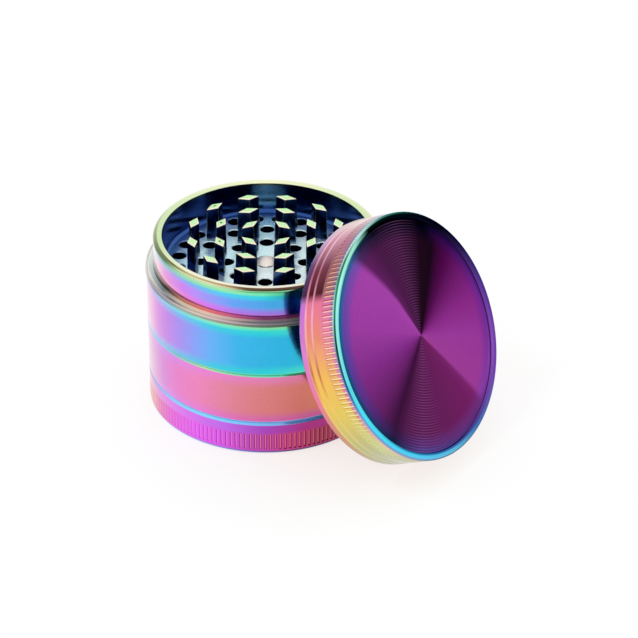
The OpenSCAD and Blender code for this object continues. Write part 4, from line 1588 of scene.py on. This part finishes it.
# %% Make the lid's teeth and magnet
lid_tip = 3.5
lid_magnet_low = post_tip - 0.1
lid_magnet_top = post_tip + 1.5
lid_tooth = diamond("lid_tooth", lid_tip, lid_hollow + tooth_root, -1)
dress(lid_tooth, lid_tooth_coats, tooth_finish(-1, lid_tip))
lid_teeth = [own_copy(lid_tooth, f"lid_tooth_{ring}_{round(degrees)}", lid_place @ place)
             for ring, degrees, place in ring_places(first_ring_r + ring_pitch / 2)]
bpy.data.objects.remove(lid_tooth)
lid_magnet = lathe("lid_magnet_disc", [
    (0, lid_magnet_low, 0), (magnet_r, lid_magnet_low, 0.18),
    (magnet_r, lid_magnet_top, 0.12), (0, lid_magnet_top, 0)], magnet_steps)
smooth(lid_magnet)
dress(lid_magnet, [lid_magnet_plate])

# %% [markdown]
# Shell, face and magnet are now laid in their place together. The teeth were put
# there already when they were copied.

# %% Lean the lid against the chamber
for piece in (lid_shell, lid_face, lid_magnet):
    piece.matrix_world = lid_place
    apply_place(piece)
print(len(lid_teeth), "teeth in the lid")

# %% [markdown]
# ## Who rides on what
# Each piece moves with one body of the CAD model. The pieces made here stand for
# the solids, which are then hidden but keep working in the simulation.

# %% Attach the pieces
rides = [
    ([base_cup, base_thread], "base", "base_coat", "base_cup"),
    ([collection, collection_thread], "collection", "collection_coat", "collection_chamber"),
    ([chamber, *chamber_teeth], "tooth_stage", "chamber_coat", "tooth_chamber"),
    ([glide_ring], "tooth_stage", "glide_plastic", "glide_ring"),
    ([chamber_magnet], "floor_magnet", "magnet", "chamber_magnet"),
    ([lid_shell, lid_face, *lid_teeth], "lid", "lid_coat", "lid"),
    ([lid_magnet], "lid_carrier", "magnet", "lid_magnet"),
]
for pieces, body, slot, node in rides:
    for piece in pieces:
        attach(piece, body)
    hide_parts(node)
print(sum(len(pieces) for pieces, *_ in rides), "pieces ride on", len(rides), "bodies")

# %% [markdown]
# ## Studio
# The grinder stands on a pale floor that glows, as a light table does, in an even
# white light. The glow is a touch warm and the paper a touch cool, so that open floor
# is white and the shadow on it turns to peach.

# %% Floor
floor_m = 4.0
grain_scale = 30.0
grain_share = 0.01
paper_grey = 0.28
paper_tint = (0.54, 0.97, 1.11)
glow_colour = (1.0, 0.86, 0.81, 1.0)
glow_strength = 0.84
bpy.ops.mesh.primitive_plane_add(size=floor_m)
floor = bpy.context.object
floor.name = "floor"
floor_paper = bpy.data.materials.new("floor_paper")
floor_paper.use_nodes = True
paper = floor_paper.node_tree
paper_place = paper.nodes.new("ShaderNodeTexCoord").outputs["Object"]
grain = noise_node(paper, paper_place, grain_scale, 3.0)
paper_tone = math_node(paper, "MULTIPLY_ADD", grain, grain_share, paper_grey)
paper_colour = paper.nodes.new("ShaderNodeCombineColor")
for channel, share in zip(paper_colour.inputs, paper_tint):
    paper.links.new(math_node(paper, "MULTIPLY", paper_tone, share), channel)
paper_shader = paper.nodes["Principled BSDF"]
paper.links.new(paper_colour.outputs[0], paper_shader.inputs["Base Color"])
paper_shader.inputs["Roughness"].default_value = 0.85
paper_shader.inputs["Specular IOR Level"].default_value = 0.1
paper_shader.inputs["Emission Color"].default_value = glow_colour
paper_shader.inputs["Emission Strength"].default_value = glow_strength
dress(floor, [floor_paper])
print("floor paper tint:", paper_tint)

# %% [markdown]
# Polished metal shows only what surrounds it, so an even white surround keeps the
# colours of the coat clean. A soft key light from the upper left gives a faint shadow
# to the right. It stays out of reflections, so that no bright disc shows in the coat.

# %% World and key light
surround = bpy.data.worlds.new("surround")
surround.use_nodes = True
surround.node_tree.nodes["Background"].inputs["Color"].default_value = (1.0, 1.0, 1.0, 1.0)
surround.node_tree.nodes["Background"].inputs["Strength"].default_value = 1.0
bpy.context.scene.world = surround

key_from = Vector((-0.55, -0.25, 0.75))
key_size_m = 0.35
key_watts = 1.6
bpy.ops.object.light_add(type="AREA", location=key_from)
key_light = bpy.context.object
key_light.name = "key_light"
key_light.data.shape = "DISK"
key_light.data.size = key_size_m
key_light.data.energy = key_watts
key_light.visible_glossy = False
key_light.rotation_mode = "QUATERNION"
key_light.rotation_quaternion = (camera_target - key_from).to_track_quat("-Z", "Y")
bpy.context.scene.view_settings.view_transform = "Standard"
print("key light shines from", [round(v, 2) for v in key_from])
